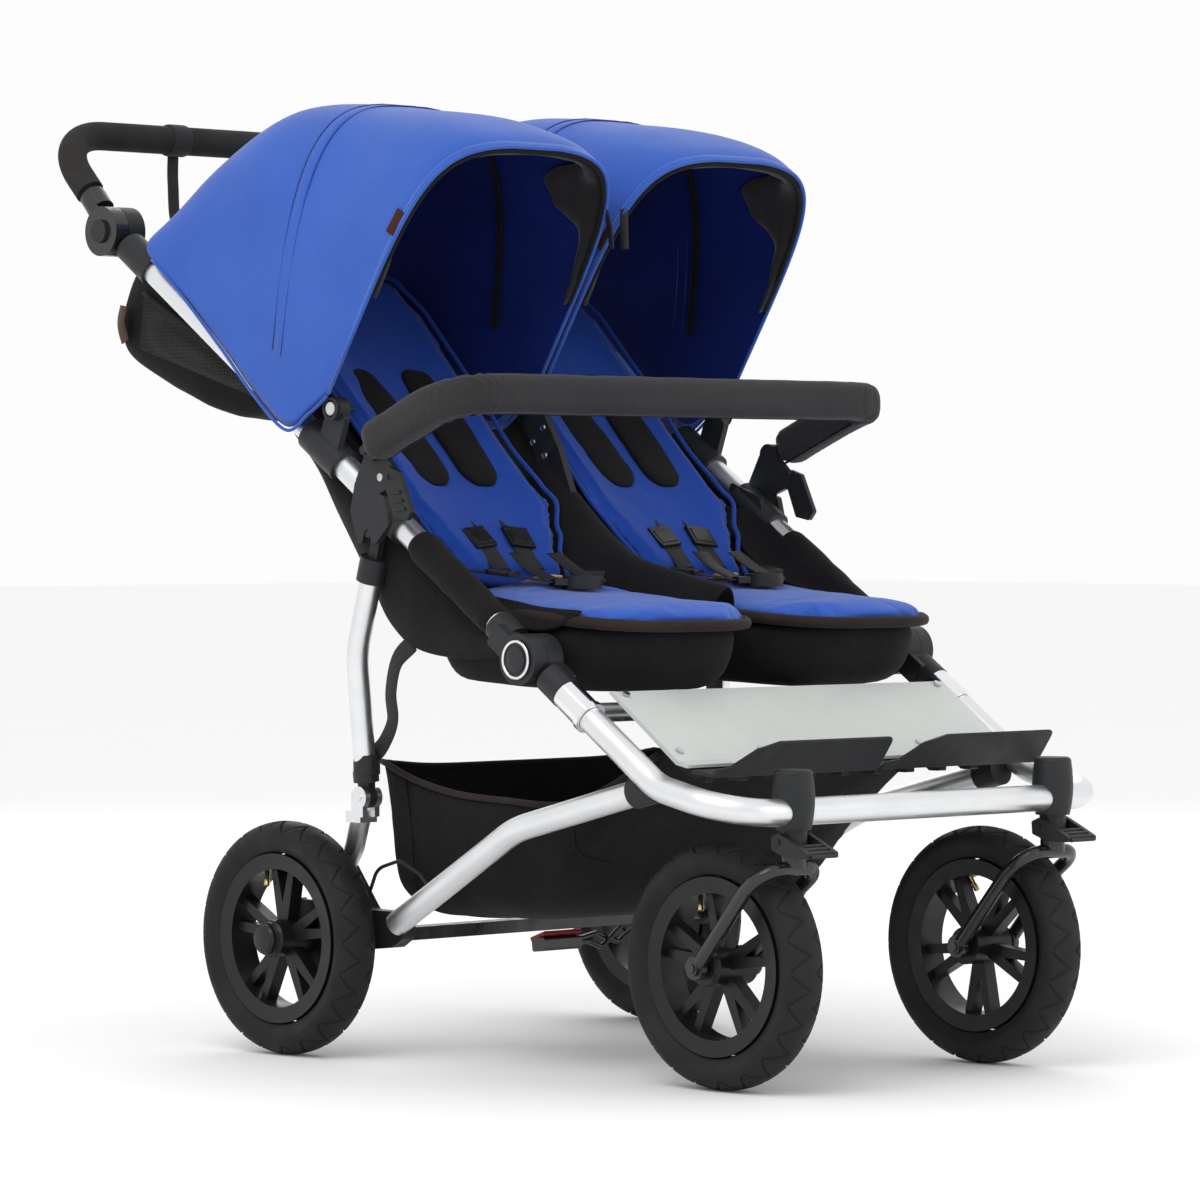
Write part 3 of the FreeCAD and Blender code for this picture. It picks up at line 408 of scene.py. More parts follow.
class Shader:
    """A material under construction: a Principled shader fed by object-space textures."""

    def __init__(self, name, roughness, metallic=0.0):
        self.material = bpy.data.materials.new(name)
        self.material.use_nodes = True
        self.tree = self.material.node_tree
        self.shader = self.tree.nodes["Principled BSDF"]
        fill_in(self.shader, Metallic=metallic, Roughness=roughness)
        self.place = self.tree.nodes.new("ShaderNodeTexCoord").outputs["Object"]
        self.height = None

    def node(self, kind, **values):
        made = self.tree.nodes.new(kind)
        for key, value in values.items():
            setattr(made, key, value)
        return made

    def link(self, source, target):
        self.tree.links.new(source, target)

    def noise(self, scale, detail=2.0):
        made = self.node("ShaderNodeTexNoise")
        fill_in(made, Scale=scale, Detail=detail)
        self.link(self.place, made.inputs["Vector"])
        return made.outputs["Fac"]

    def wave(self, direction, period):
        """Bands across an axis, with a period in metres."""
        made = self.node("ShaderNodeTexWave", wave_type="BANDS", bands_direction=direction)
        fill_in(made, Scale=0.314 / period, Distortion=0.4)
        self.link(self.place, made.inputs["Vector"])
        return made.outputs["Fac"]

    def math(self, operation, first, second):
        made = self.node("ShaderNodeMath", operation=operation)
        for value, target in ((first, made.inputs[0]), (second, made.inputs[1])):
            if isinstance(value, (int, float)):
                target.default_value = value
            else:
                self.link(value, target)
        return made.outputs["Value"]

    def spread(self, source, low, high):
        """Map 0.3 .. 0.7 of a texture to low .. high."""
        made = self.node("ShaderNodeMapRange")
        fill_in(made, From_Min=0.3, From_Max=0.7, To_Min=low, To_Max=high)
        self.link(source, made.inputs["Value"])
        return made.outputs["Result"]

    def colour(self, first, second, mask):
        """Mix two colours by a mask; the node's colour sockets are its inputs 6, 7 and output 2."""
        made = self.node("ShaderNodeMix", data_type="RGBA")
        made.inputs[6].default_value = (*first, 1)
        made.inputs[7].default_value = (*second, 1)
        self.link(mask, made.inputs["Factor"])
        self.link(made.outputs[2], self.shader.inputs["Base Color"])

    def rough(self, mask, low, high):
        self.link(self.spread(mask, low, high), self.shader.inputs["Roughness"])

    def bump(self, height, distance, strength=1.0):
        made = self.node("ShaderNodeBump")
        fill_in(made, Distance=distance, Strength=strength)
        self.link(height, made.inputs["Height"])
        if self.height is not None:
            self.link(self.height, made.inputs["Normal"])
        self.height = made.outputs["Normal"]
        self.link(self.height, self.shader.inputs["Normal"])


def woven(name, light, dark, period=0.0009, roughness=0.8, sheen=0.25, crease=0.0012):
    """Plain woven cloth: threads, soft creases and a little colour drift."""
    made = Shader(name, roughness)
    drift = made.noise(9, 3)
    made.colour(dark, light, made.spread(drift, 0.15, 0.95))
    threads = made.math("ADD", made.wave("X", period),
                        made.math("ADD", made.wave("Y", period), made.wave("Z", period)))
    made.bump(made.noise(38, 3), crease, 0.35)
    made.bump(threads, period * 0.16, 0.5)
    made.rough(made.noise(160, 2), roughness - 0.06, min(roughness + 0.08, 1))
    fill_in(made.shader, Sheen_Weight=sheen, Sheen_Roughness=0.45, Specular_IOR_Level=0.12)
    return made.material


def webbing(name, light, dark):
    """Ribbed nylon strap."""
    made = Shader(name, 0.55)
    ribs = made.math("ADD", made.wave("Y", 0.0016), made.wave("Z", 0.0016))
    made.colour(dark, light, made.spread(ribs, 0.0, 0.6))
    made.bump(ribs, 0.0003, 0.7)
    fill_in(made.shader, Specular_IOR_Level=0.35)
    return made.material


def open_mesh(name, light, dark, pitch=0.0042):
    """Net with small round holes, drawn as dark cells in relief."""
    made = Shader(name, 0.7)
    cells = made.node("ShaderNodeTexVoronoi", feature="F1")
    fill_in(cells, Scale=1 / pitch, Randomness=0.15)
    made.link(made.place, cells.inputs["Vector"])
    mask = made.spread(cells.outputs["Distance"], 0.0, 1.0)
    made.colour(dark, light, mask)
    made.bump(mask, 0.0008, 0.8)
    fill_in(made.shader, Specular_IOR_Level=0.2)
    return made.material


def moulded(name, light, dark, roughness=0.45, grain=900, specular=0.28):
    """Injection moulded plastic with a fine grain and slight handling marks."""
    made = Shader(name, roughness)
    made.colour(dark, light, made.spread(made.noise(14, 4), 0.2, 0.9))
    made.bump(made.noise(grain, 2), 0.00012, 0.6)
    made.rough(made.noise(60, 4), roughness - 0.07, roughness + 0.09)
    fill_in(made.shader, Specular_IOR_Level=specular)
    return made.material


def satin_metal(name, light, dark, roughness):
    """Anodised or polished metal with fine draw lines."""
    made = Shader(name, roughness, metallic=1.0)
    made.colour(dark, light, made.spread(made.noise(18, 3), 0.1, 0.9))
    made.bump(made.noise(700, 2), 0.00003, 0.4)
    made.rough(made.noise(45, 4), roughness - 0.05, roughness + 0.06)
    return made.material


def rubbery(name, light, dark, roughness, grain, depth):
    """Rubber, foam or leather: matt, with a pebbled grain."""
    made = Shader(name, roughness)
    made.colour(dark, light, made.spread(made.noise(22, 4), 0.1, 0.9))
    made.bump(made.noise(grain, 3), depth, 0.6)
    made.rough(made.noise(35, 4), roughness - 0.1, roughness + 0.1)
    fill_in(made.shader, Specular_IOR_Level=0.16)
    return made.material


BLUE = woven("blue_cloth", (0.036, 0.112, 0.47), (0.028, 0.092, 0.41))
BLUE_PAD = woven("blue_padding", (0.014, 0.062, 0.36), (0.010, 0.048, 0.30), roughness=0.86, sheen=0.15,
                 crease=0.0018)
BLUE_SEAT = woven("blue_seat_top", (0.036, 0.108, 0.47), (0.028, 0.090, 0.41), roughness=0.86,
                  crease=0.0018)
NAVY = woven("navy_lining", (0.006, 0.02, 0.17), (0.004, 0.012, 0.11), roughness=0.8, sheen=0.05)
BLACK = woven("black_cloth", (0.011, 0.011, 0.012), (0.007, 0.007, 0.008), roughness=0.85, sheen=0.04)
BLACK_SOFT = woven("black_bar_cover", (0.034, 0.032, 0.034), (0.024, 0.023, 0.025), period=0.0007,
                   sheen=0.12)
BLACK_THIN = woven("black_thin_lining", (0.02, 0.019, 0.019), (0.012, 0.011, 0.012), period=0.0006,
                   crease=0.003)
PIPING = woven("dark_binding", (0.030, 0.022, 0.020), (0.018, 0.013, 0.012), period=0.0008, sheen=0.05)
WEBBING = webbing("black_webbing", (0.020, 0.020, 0.022), (0.007, 0.007, 0.008))
NET = open_mesh("black_net", (0.024, 0.023, 0.023), (0.006, 0.006, 0.006))
TAG = woven("brown_tag", (0.06, 0.022, 0.014), (0.04, 0.015, 0.010), period=0.0006, sheen=0.0)
LEATHER = rubbery("brown_patch", (0.075, 0.038, 0.025), (0.045, 0.022, 0.014), 0.6, 350, 0.0004)
PEACH = woven("peach_tab", (0.62, 0.36, 0.22), (0.50, 0.28, 0.17), period=0.0008)
THREAD = woven("blue_thread", (0.020, 0.055, 0.30), (0.014, 0.040, 0.24), period=0.0005)
PLASTIC = moulded("black_moulding", (0.020, 0.021, 0.023), (0.014, 0.015, 0.016))
GLOSSY = moulded("black_gloss_moulding", (0.016, 0.016, 0.017), (0.010, 0.010, 0.011), 0.28, 500)
RIM = moulded("rim_moulding", (0.009, 0.009, 0.010), (0.006, 0.006, 0.007), 0.36, 400, 0.30)
SILVER_PLASTIC = moulded("silver_moulding", (0.56, 0.58, 0.56), (0.51, 0.53, 0.51), 0.42, 700)
RED = moulded("red_moulding", (0.30, 0.022, 0.028), (0.22, 0.014, 0.018), 0.4)
ALUMINIUM = satin_metal("satin_aluminium", (0.80, 0.81, 0.82), (0.74, 0.75, 0.76), 0.36)
CHROME = satin_metal("polished_sleeve", (0.86, 0.86, 0.87), (0.80, 0.80, 0.81), 0.12)
STEEL = satin_metal("screw_steel", (0.62, 0.62, 0.63), (0.5, 0.5, 0.51), 0.25)
BRASS = satin_metal("brass", (0.60, 0.45, 0.22), (0.5, 0.36, 0.16), 0.3)
BLACK_STEEL = moulded("black_enamel", (0.014, 0.014, 0.015), (0.008, 0.008, 0.009), 0.22, 300, 0.6)
FOAM = rubbery("grip_foam", (0.030, 0.028, 0.027), (0.020, 0.019, 0.018), 0.85, 420, 0.0005)
RUBBER = rubbery("tyre_rubber", (0.020, 0.020, 0.022), (0.013, 0.013, 0.014), 0.60, 500, 0.0001)

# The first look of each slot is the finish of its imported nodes.
LOOKS = {"aluminium_tube": (ALUMINIUM,), "chrome": (CHROME,), "steel": (STEEL, BRASS),
         "black_steel": (BLACK_STEEL,), "black_plastic": (PLASTIC, GLOSSY, RIM),
         "silver_plastic": (SILVER_PLASTIC,), "red_plastic": (RED,), "foam": (FOAM,), "tyre": (RUBBER,),
         "blue_fabric": (BLUE, BLUE_PAD, BLUE_SEAT, THREAD),
         "black_fabric": (BLACK, BLACK_SOFT, BLACK_THIN, PIPING, WEBBING, NET, TAG, LEATHER, PEACH)}
SLOTS = {look.name: slot for slot, looks in LOOKS.items() for look in looks}


def slot_of(piece):
    """The material slot that a piece's first material belongs to."""
    return SLOTS[piece.data.materials[0].name]


def dress_frame():
    """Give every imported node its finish."""
    slots = {part["node"]: part["material_slot"] for part in frame["record"]["subparts"]}
    for name, piece in frame["nodes"].items():
        finish = RIM if name.endswith("_rim") else LOOKS[slots[name]][0]
        piece.data.materials.clear()
        piece.data.materials.append(finish)


# ---------------------------------------------------------------- camera, light and floor
LENS, SENSOR = 158.2, 36
EYE = place(-4007.7, -4076.3, 586.8)
TARGET = place(-84.6, 0, 495)
LAMP_TARGET = Vector((0, 0, 0.5))
LAMPS = (("key", (-2.6, -1.2, 3.4), 2.4, 44), ("fill", (1.2, -4.0, 1.8), 2.6, 16),
         ("back", (2.4, 2.6, 2.6), 2.0, 26))
WORLD_STRENGTH = 0.98
FLOOR_HALF = 30.0


def aimed(data, location, target):
    """A camera or lamp in the scene, turned towards a target."""
    made = bpy.data.objects.new(data.name, data)
    made.location = location
    made.rotation_euler = (target - made.location).to_track_quat("-Z", "Y").to_euler()
    bpy.context.scene.collection.objects.link(made)
    return made


def make_stage():
    """The camera, a white studio with three soft lamps, and the pale floor."""
    scene = bpy.context.scene
    eye = bpy.data.cameras.new("camera")
    eye.lens = LENS
    eye.sensor_width = SENSOR
    eye.clip_end = 100
    scene.camera = aimed(eye, EYE, TARGET)

    world = bpy.data.worlds.new("studio")
    world.use_nodes = True
    fill_in(world.node_tree.nodes["Background"], Color=(1, 1, 1, 1), Strength=WORLD_STRENGTH)
    scene.world = world
    scene.view_settings.view_transform = "Standard"

    for name, location, size, power in LAMPS:
        light = bpy.data.lights.new(name, "AREA")
        light.size = size
        light.energy = power
        aimed(light, location, LAMP_TARGET)

    paint = Shader("pale_floor", 0.9)
    paint.colour((0.93, 0.93, 0.93), (0.95, 0.95, 0.95), paint.noise(3, 2))
    corners = [(FLOOR_HALF * x, FLOOR_HALF * y, 0) for x, y in ((-1, -1), (1, -1), (1, 1), (-1, 1))]
    floor = mesh_piece("floor", corners, [(0, 1, 2, 3)], paint.material)


# ---------------------------------------------------------------- padding by cloth simulation
def puff(piece, voxel=0.005, pressure=4.0, cap=0.010, held=None, frames=20):
    """Blow a closed form up as cloth under pressure; held(point) keeps seams from moving."""
    remesh = piece.modifiers.new("even", "REMESH")
    remesh.mode = "VOXEL"
    remesh.voxel_size = voxel
    depsgraph = bpy.context.evaluated_depsgraph_get()
    piece.data = bpy.data.meshes.new_from_object(piece.evaluated_get(depsgraph))
    piece.modifiers.clear()
    start = [vert.co.copy() for vert in piece.data.vertices]
    cloth = piece.modifiers.new("cloth", "CLOTH")
    cloth.settings.quality = 5
    cloth.settings.use_pressure = True
    cloth.settings.uniform_pressure_force = pressure
    cloth.settings.effector_weights.gravity = 0
    cloth.settings.tension_stiffness = 8
    cloth.settings.compression_stiffness = 8
    cloth.settings.bending_stiffness = 0.4
    if held:
        group = piece.vertex_groups.new(name="held")
        for index, point in enumerate(start):
            weight = held(point)
            if weight > 0:
                group.add([index], weight, "REPLACE")
        cloth.settings.vertex_group_mass = "held"
        cloth.settings.pin_stiffness = 1.0
    scene = bpy.context.scene
    for step in range(1, frames + 1):
        scene.frame_set(step)
    depsgraph = bpy.context.evaluated_depsgraph_get()
    blown = bpy.data.meshes.new_from_object(piece.evaluated_get(depsgraph))
    for vert, origin in zip(blown.vertices, start):
        move = vert.co - origin
        if move.length > cap:
            vert.co = origin + move.normalized() * cap
    piece.modifiers.clear()
    piece.vertex_groups.clear()
    piece.data = blown
    piece.data.shade_smooth()
    scene.frame_set(1)
    return subdivide(piece)


# ---------------------------------------------------------------- canopies
HOOD_TOP = [(38, 958), (60, 976), (118, 994), (199, 1005), (280, 1014), (349, 1011), (426, 974),
            (508, 903)]
HOOD_LOW = [(192, 716), (205, 706), (226, 694), (262, 678), (315, 716), (370, 768), (440, 830),
            (498, 876)]
HOOD_OUTER, HOOD_INNER = -303.0, -5.0
HOOD_MIDDLE = (HOOD_OUTER + HOOD_INNER) / 2
HOOD_CROWN = 24.0
HOOD_SQUARENESS = [(0, 5.6), (0.45, 4.0), (1, 3.4)]
HOOD_START, HOOD_END = place(0, 349, 985), place(0, 80, 960)
CHANNEL_SHARE, CHANNEL_HALF = 0.50, 0.016
VISOR_DEPTH = [(0.0, 0.05), (0.4, 0.12), (0.7, 0.30), (0.8, 0.27), (0.95, 0.12), (0.996, 0.01)]
TOP_LINE = smooth_path([Vector((0, *point)) for point in HOOD_TOP], 240)
LOW_LINE = smooth_path([Vector((0, *point)) for point in HOOD_LOW], 240)


def hood_point(share, turn, inset=0.0):
    """A place on the right hood: share runs front to back, turn 0..1 over the arch from outside in."""
    at = min(max(share, 0), 1) * (len(TOP_LINE) - 1)
    index = min(int(at), len(TOP_LINE) - 2)
    top = TOP_LINE[index].lerp(TOP_LINE[index + 1], at - index)
    low = LOW_LINE[index].lerp(LOW_LINE[index + 1], at - index)
    reach = (top - low).length
    half = (HOOD_INNER - HOOD_OUTER) / 2 - inset
    angle = pi * turn
    power = 2 / between(HOOD_SQUARENESS, at / (len(TOP_LINE) - 1))
    c, s = cos(angle), sin(angle)
    x = HOOD_MIDDLE - half * copysign(abs(c) ** power, c)
    rise = abs(s) ** power
    crown = HOOD_CROWN * (1 - ((x - HOOD_MIDDLE) / half) ** 2) * rise
    spot = low.lerp(top, rise * (reach - inset) / reach) + (top - low).normalized() * crown
    return place(x, spot.y, spot.z)


def hood_line(share, inset=0.0, first=0.0, last=1.0, count=60):
    """A row of places over the hood's arch."""
    turns = [first + (last - first) * step / (count - 1) for step in range(count)]
    return [hood_point(share, turn, inset) for turn in turns]


def on_hood(piece, *nodes):
    """Hood pieces and their twins, fixed where they are made."""
    return blend_pair(piece, "upper_frame", "right_bow", HOOD_START, HOOD_END, *nodes)


def make_hood():
    """Blue shell with a navy lining."""
    rows = [hood_line(row / 42, count=57) for row in range(43)]
    shell = skin("right_hood", rows, BLUE, 0.0016)
    shell.data.materials.append(NAVY)
    shell.modifiers["thickness"].material_offset = 1
    crumple(shell, (0.0016, 0.09, 3), (0.0006, 0.03, 5))
    subdivide(shell)
    for piece, side in zip(on_hood(shell, "right_canopy"), ("right", "left")):
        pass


def make_hood_seams():
    """A raised bow channel with a stitch line on each side, and the bound front and outer edges."""
    half = CHANNEL_HALF
    section = ((-half, 0.5), (-half * 0.8, -0.2), (0, -0.6), (half * 0.8, -0.2), (half, 0.5))
    rows = [hood_line(CHANNEL_SHARE + shift, inset, 0.015, 0.985) for shift, inset in section]
    on_hood(skin("right_hood_channel_0", rows, BLUE, 0.0006))
    for edge, shift in enumerate((-half, half)):
        line = hood_line(CHANNEL_SHARE + shift, -0.5, 0.015, 0.985)
        on_hood(pipe(f"right_hood_stitch_0_{edge}", line, 0.0007, THREAD, sides=6, count=0))
    on_hood(pipe("right_hood_binding", hood_line(0.0, -0.3, count=90), 0.0021, BLUE, sides=8, count=0))
    hem = [hood_line(share, -1.2) for share in (0.0, 0.02, 0.045)]
    on_hood(skin("right_hood_hem", hem, BLUE, 0.0012))
    lower = [hood_point(0.02 + 0.96 * step / 60, 0.0, -0.3) for step in range(61)]
    on_hood(pipe("right_hood_lower_edge", lower, 0.0019, BLUE, sides=8, count=0))


def make_hood_inside():
    """Front bow in its hem, the middle bow's black channel, and the stowed sun visor's crumpled cloth."""
    arm = hood_line(0.004, 4.6, 0.03, 0.97, 70)
    bow = pipe("right_bow_arm", arm, 0.0036, BLACK, sides=10, count=0, flat=0.6)
    put_pair(bow, "right_bow", "right_canopy_bow", slot="black_plastic")
    middle = hood_line(0.45, 4.5, 0.04, 0.96, 50)
    on_hood(pipe("right_middle_bow", middle, 0.0055, BLACK, sides=8, count=0, flat=0.45))
    rows = []
    for row in range(15):
        line = []
        for step in range(75):
            turn = 0.03 + 0.94 * step / 74
            share = 0.008 + between(VISOR_DEPTH, abs(cos(pi * turn))) * row / 14
            bulge = 5 + 7 * sin(pi * row / 14)
            point = hood_point(share, turn, bulge)
            line.append(point + Vector((0, 1, -0.6)) * (0.0035 * ripple(point, 0.022,
                                                                        8) + 0.002 * ripple(point,
                                                                                            0.011, 2)))
        rows.append(line)
    visor = skin("right_visor", rows, BLACK_THIN, 0.0012, levels=1)
    for piece, side in zip(on_hood(visor), ("right", "left")):
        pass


def make_hood_trim():
    """Blank tags on the hood's edges and a short pull tab on its inner edge."""
    for name, share, turn in (("right_tag_outer", 0.06, 0.13), ("right_tag_inner", 0.03, 0.88)):
        corner = hood_point(share, turn, -1.5)
        along = (hood_point(share, turn + 0.012, -1.5) - corner).normalized()
        points = [corner - along * 0.014, corner, corner + along * 0.014]
        face = Vector((-1 if turn < 0.5 else 1, -0.2, 0))
        on_hood(strap(name, points, face, 0.012, 0.0012, TAG))
    top = hood_point(0.02, 0.8, -1)
    pull = [top, top + Vector((0.004, -0.004, -0.02)), top + Vector((0.005, -0.006, -0.045))]
    on_hood(strap("right_pull_tab", pull, Vector((1, -0.3, 0)), 0.010, 0.0016, WEBBING))


# ---------------------------------------------------------------- seats
SEAT_HALF = 117.0
BACK_FOOT, BACK_TOP = -26, 495
BACK_DEPTH = [(-30, 52), (0, 56), (140, 50), (280, 25), (500, 23)]
LINER_HALF = [(-12, 68), (5, 74), (30, 80), (62, 94), (104, 110), (126, 107), (190, 103), (300, 108),
              (400, 109), (455, 103), (484, 84), (500, 48)]


def bolster(across):
    """How far a seat's side rises above its middle, across -1 .. 1."""
    return 36 * abs(across) ** 3


def make_back_shell():
    """Black seat back: scooped in front, hammock-deep behind at its foot."""
    shape = super_ellipse(44, 5.0)
    rings = []
    for step in range(40):
        distance = BACK_FOOT + (BACK_TOP - BACK_FOOT) * step / 39
        close = min(1.0, (step + 1.2) / 4, (40.2 - step) / 3) ** 0.5
        ring = []
        for across, lift in shape:
            x = SEAT_MIDDLE + SEAT_HALF * across * (0.94 + 0.06 * close)
            front = 4 + bolster(across) * (0.55 if distance < 60 else 1)
            level = lift * front if lift > 0 else lift * between(BACK_DEPTH, distance)
            ring.append(on_back(x, distance, level * close))
        rings.append(ring)
    shell = loft("right_back_shell", rings, BLACK)
    crumple(shell, (0.0022, 0.06, 1), (0.0008, 0.02, 4))
    subdivide(shell)
    for piece in put_pair(shell, "right_back", "right_seat_back"):
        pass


def liner_curl(across):
    """How far the liner rises over the bolster, across in millimetres from its middle."""
    return 30 * abs(across / SEAT_HALF) ** 2.4


def make_liner():
    """Blue padded liner, waisted at the hips, its edges curled up over the bolsters."""
    count = 46
    rings = []
    shape = super_ellipse(40, 2.6)
    for step in range(count):
        distance = -10 + 509 * step / (count - 1)
        half = between(LINER_HALF, distance)
        thick = 10 * min(1.0, (step + 0.6) / 3, (count - step - 0.4) / 3) ** 0.5
        ring = []
        for across, lift in shape:
            level = 19 + liner_curl(across * half) + lift * thick
            ring.append(on_back(SEAT_MIDDLE + across * half, distance, level))
        rings.append(ring)
    liner = loft("right_liner", rings, BLUE_PAD)
    liner = puff(liner, voxel=0.006, pressure=3.0, cap=0.006)
    crumple(liner, (0.0012, 0.05, 7), (0.0006, 0.018, 9))
    for piece in put_pair(liner, "right_back"):
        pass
    edge = [(between(LINER_HALF, d) + 1.5, d) for d in (-6 + 503 * step / 69 for step in range(70))]
    outline = [on_back(SEAT_MIDDLE + side * half, d, 18 + liner_curl(half))
               for side, row in ((-1, edge), (1, edge[::-1])) for half, d in row]
    put_pair(pipe("right_liner_piping", outline, 0.0026, BLUE_PAD, sides=8, count=0), "right_back")


PAD_FRONT, PAD_LONG = -204, 266
PAD_SEAMS = (-118, -30)
PAD_HALF = [(-204, 34), (-202, 52), (-197, 70), (-186, 89), (-168, 103), (-140, 112), (-90, 116),
            (30, 116), (52, 106), (62, 84)]


def pad_height(y):
    """The cushion rises a little towards the back."""
    return 481 + 21 * (y - PAD_FRONT) / PAD_LONG


def make_front_pad():
    """Blue cushion over the front of the seat, puffed between two wavy seams, with a dark binding."""
    count = 44
    rings = []
    shape = super_ellipse(44, 2.4)
    for step in range(count):
        y = PAD_FRONT + PAD_LONG * step / (count - 1)
        half = between(PAD_HALF, y)
        thick = 10.5 * min(1.0, (step + 0.5) / 4, (count - step - 0.4) / 3) ** 0.5
        rings.append([place(SEAT_MIDDLE + across * half, y,
                            pad_height(y) + lift * thick - 5 * across ** 4)
                      for across, lift in shape])
    pad = loft("right_front_pad", rings, BLUE_SEAT)

    def held(point):
        y = point.y * 1000 + DATUM
        wave = 7 * sin(point.x * 55)
        return 1.0 if min(abs(y - line - wave) for line in PAD_SEAMS) < 4 else 0.0
    pad = puff(pad, voxel=0.005, pressure=5.0, cap=0.009, held=held)
    crumple(pad, (0.0014, 0.045, 11), (0.0007, 0.016, 12))
    for piece in put_pair(pad, "chassis", "right_seat_pad"):
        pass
    edge = [(between(PAD_HALF, y), y) for y in (60 - 264 * step / 60 for step in range(61))]
    outline = [place(SEAT_MIDDLE + side * half, y, pad_height(y) - 10)
               for side, row in ((-1, edge), (1, edge[::-1])) for half, y in row]
    put_pair(pipe("right_pad_binding", outline, 0.0048, PIPING, sides=8, count=0, flat=1.3), "chassis")


def make_seat_scoop():
    """Black shell under the cushion: a rounded scoop with a bulging front."""
    levels = [(405, -128, 78, 78), (407, -150, 92, 96), (414, -168, 104, 106), (428, -181, 112, 112),
              (446, -188, 116, 116), (462, -190, 118, 117), (471, -184, 118, 114)]
    rings = []
    for z, front, back, half in levels:
        middle = (front + back) / 2
        reach = (back - front) / 2
        rings.append([place(SEAT_MIDDLE + half * across, middle + reach * run, z + 4 * run * (z < 440))
                      for across, run in super_ellipse(48, 3.4)])
    scoop = loft("right_seat_scoop", rings, BLACK)
    crumple(scoop, (0.002, 0.05, 21))
    subdivide(scoop)
    for piece in put_pair(scoop, "chassis", "right_seat_base"):
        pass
    front_seam = [place(SEAT_MIDDLE + 112 * across, -36 + 151 * run, 447) for across,
                  run in super_ellipse(60, 3.4)]
    put_pair(pipe("right_scoop_seam", front_seam + front_seam[:1], 0.0012, BLACK, sides=6, count=0),
             "chassis")


def make_side_wings():
    """Black cloth from the side tube in to the seat, and the curtain that hangs outside the seat."""
    outer = [on_tube(d, 8, -266) for d in (42, 90, 140, 190, 232, 262)]
    inner = [place(-250, -150, 488), place(-250, -60, 494), place(-244, 20, 506), place(-232, 72, 528),
             on_back(-236, 96, 26), on_back(-236, 150, 30)]
    top, low = smooth_path(outer, 30), smooth_path(inner, 30)
    rows = []
    for share in (step / 12 for step in range(13)):
        line = [a.lerp(b, share) for a, b in zip(top, low)]
        sag = UP * (0.010 * sin(pi * share))
        rows.append([point - sag + UP * 0.0022 * ripple(point, 0.03, 3) for point in line])
    wing = skin("right_wing", rows, BLACK, 0.004, offset=0, levels=1)
    upper = [on_tube(d, -6, -264) for d in (40, 110, 190, 270, 350, 420)]
    under = [place(-252, -62, 441), place(-250, 40, 434), place(-250, 130, 452), place(-250, 190, 524),
             place(-252, 268, 640), place(-255, 300, 682)]
    top, low = smooth_path(upper, 36), smooth_path(under, 36)
    rows = []
    for share in (step / 11 for step in range(12)):
        line = [a.lerp(b, share) for a, b in zip(top, low)]
        bulge = Vector((0.019 * sin(pi * share), 0, 0))
        rows.append([point - bulge + Vector((0.0025, 0, 0)) * ripple(point, 0.04, 6) for point in line])
    curtain = skin("right_curtain", rows, BLACK, 0.003, offset=0, levels=1)
    for piece, flat, area in ((wing, (0.33, 0.05), 0.0125), (curtain, (0.36, 0.16), 0.032)):
        for made in blend_pair(piece, "chassis", "upper_frame", place(0, -60, 470), place(0, 90, 520)):
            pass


def make_seat_ridge():
    """Black saddle between the two seats, from the centre bracket down to the cushions."""
    ridge = [(176, 655, 10), (130, 606, 26), (80, 562, 40), (30, 536, 38), (-40, 520, 26),
             (-110, 506, 14)]
    rows = []
    path = smooth_path([Vector((y, z, half)) for y, z, half in ridge], 26)
    for y, z, half in path:
        rows.append([place(half * 1.5 * across, y + 16 * abs(across) ** 2,
                           z - (26 + half * 0.7) * abs(across) ** 1.7)
                     for across in [-1 + 2 * step / 14 for step in range(15)]])
    ridge_piece = skin("seat_ridge", rows, BLACK, 0.005, offset=-1, levels=1)
    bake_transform(ridge_piece)


# ---------------------------------------------------------------- harness
WEB_WIDE, WEB_THICK = 0.025, 0.0018


def make_harness():
    """Shoulder pads, webbing and ladder adjusters of one seat, mirrored for the other."""
    for number, shift in enumerate((-36, 32)):
        top, foot = SEAT_MIDDLE + shift * 1.35, SEAT_MIDDLE + shift
        path = smooth_path([on_back(top, 318, 33), on_back((top + foot) / 2, 230, 37),
                            on_back(foot, 132, 38)], 24)
        widths = [0.024 + 0.004 * sin(pi * k / 23) for k in range(24)]
        widths[0] = widths[-1] = 0.012
        widths[1] = widths[-2] = 0.020
        thick = [0.003] + [0.0062] * 22 + [0.003]
        pad = cushion(f"right_shoulder_pad_{number}", path, BACK_FACE, widths, thick, BLACK)
        crumple(pad, (0.0010, 0.02, 14))
        subdivide(pad)
        for piece in put_pair(pad, "right_back"):
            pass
        low = SEAT_MIDDLE + shift * 0.75
        web = [on_back(foot, 140, 33), on_back(foot, 100, 34), on_back(low, 40, 36), on_back(low, 6, 36)]
        put_pair(strap(f"right_shoulder_web_{number}", web, BACK_FACE, WEB_WIDE, WEB_THICK, WEBBING),
                 "right_back")
        place_at = on_back(foot * 0.4 + low * 0.6, 52, 38)
        make_adjuster(f"right_adjuster_{number}", place_at, BACK_FACE, (web[2] - web[1]).normalized(),
                      "right_back")


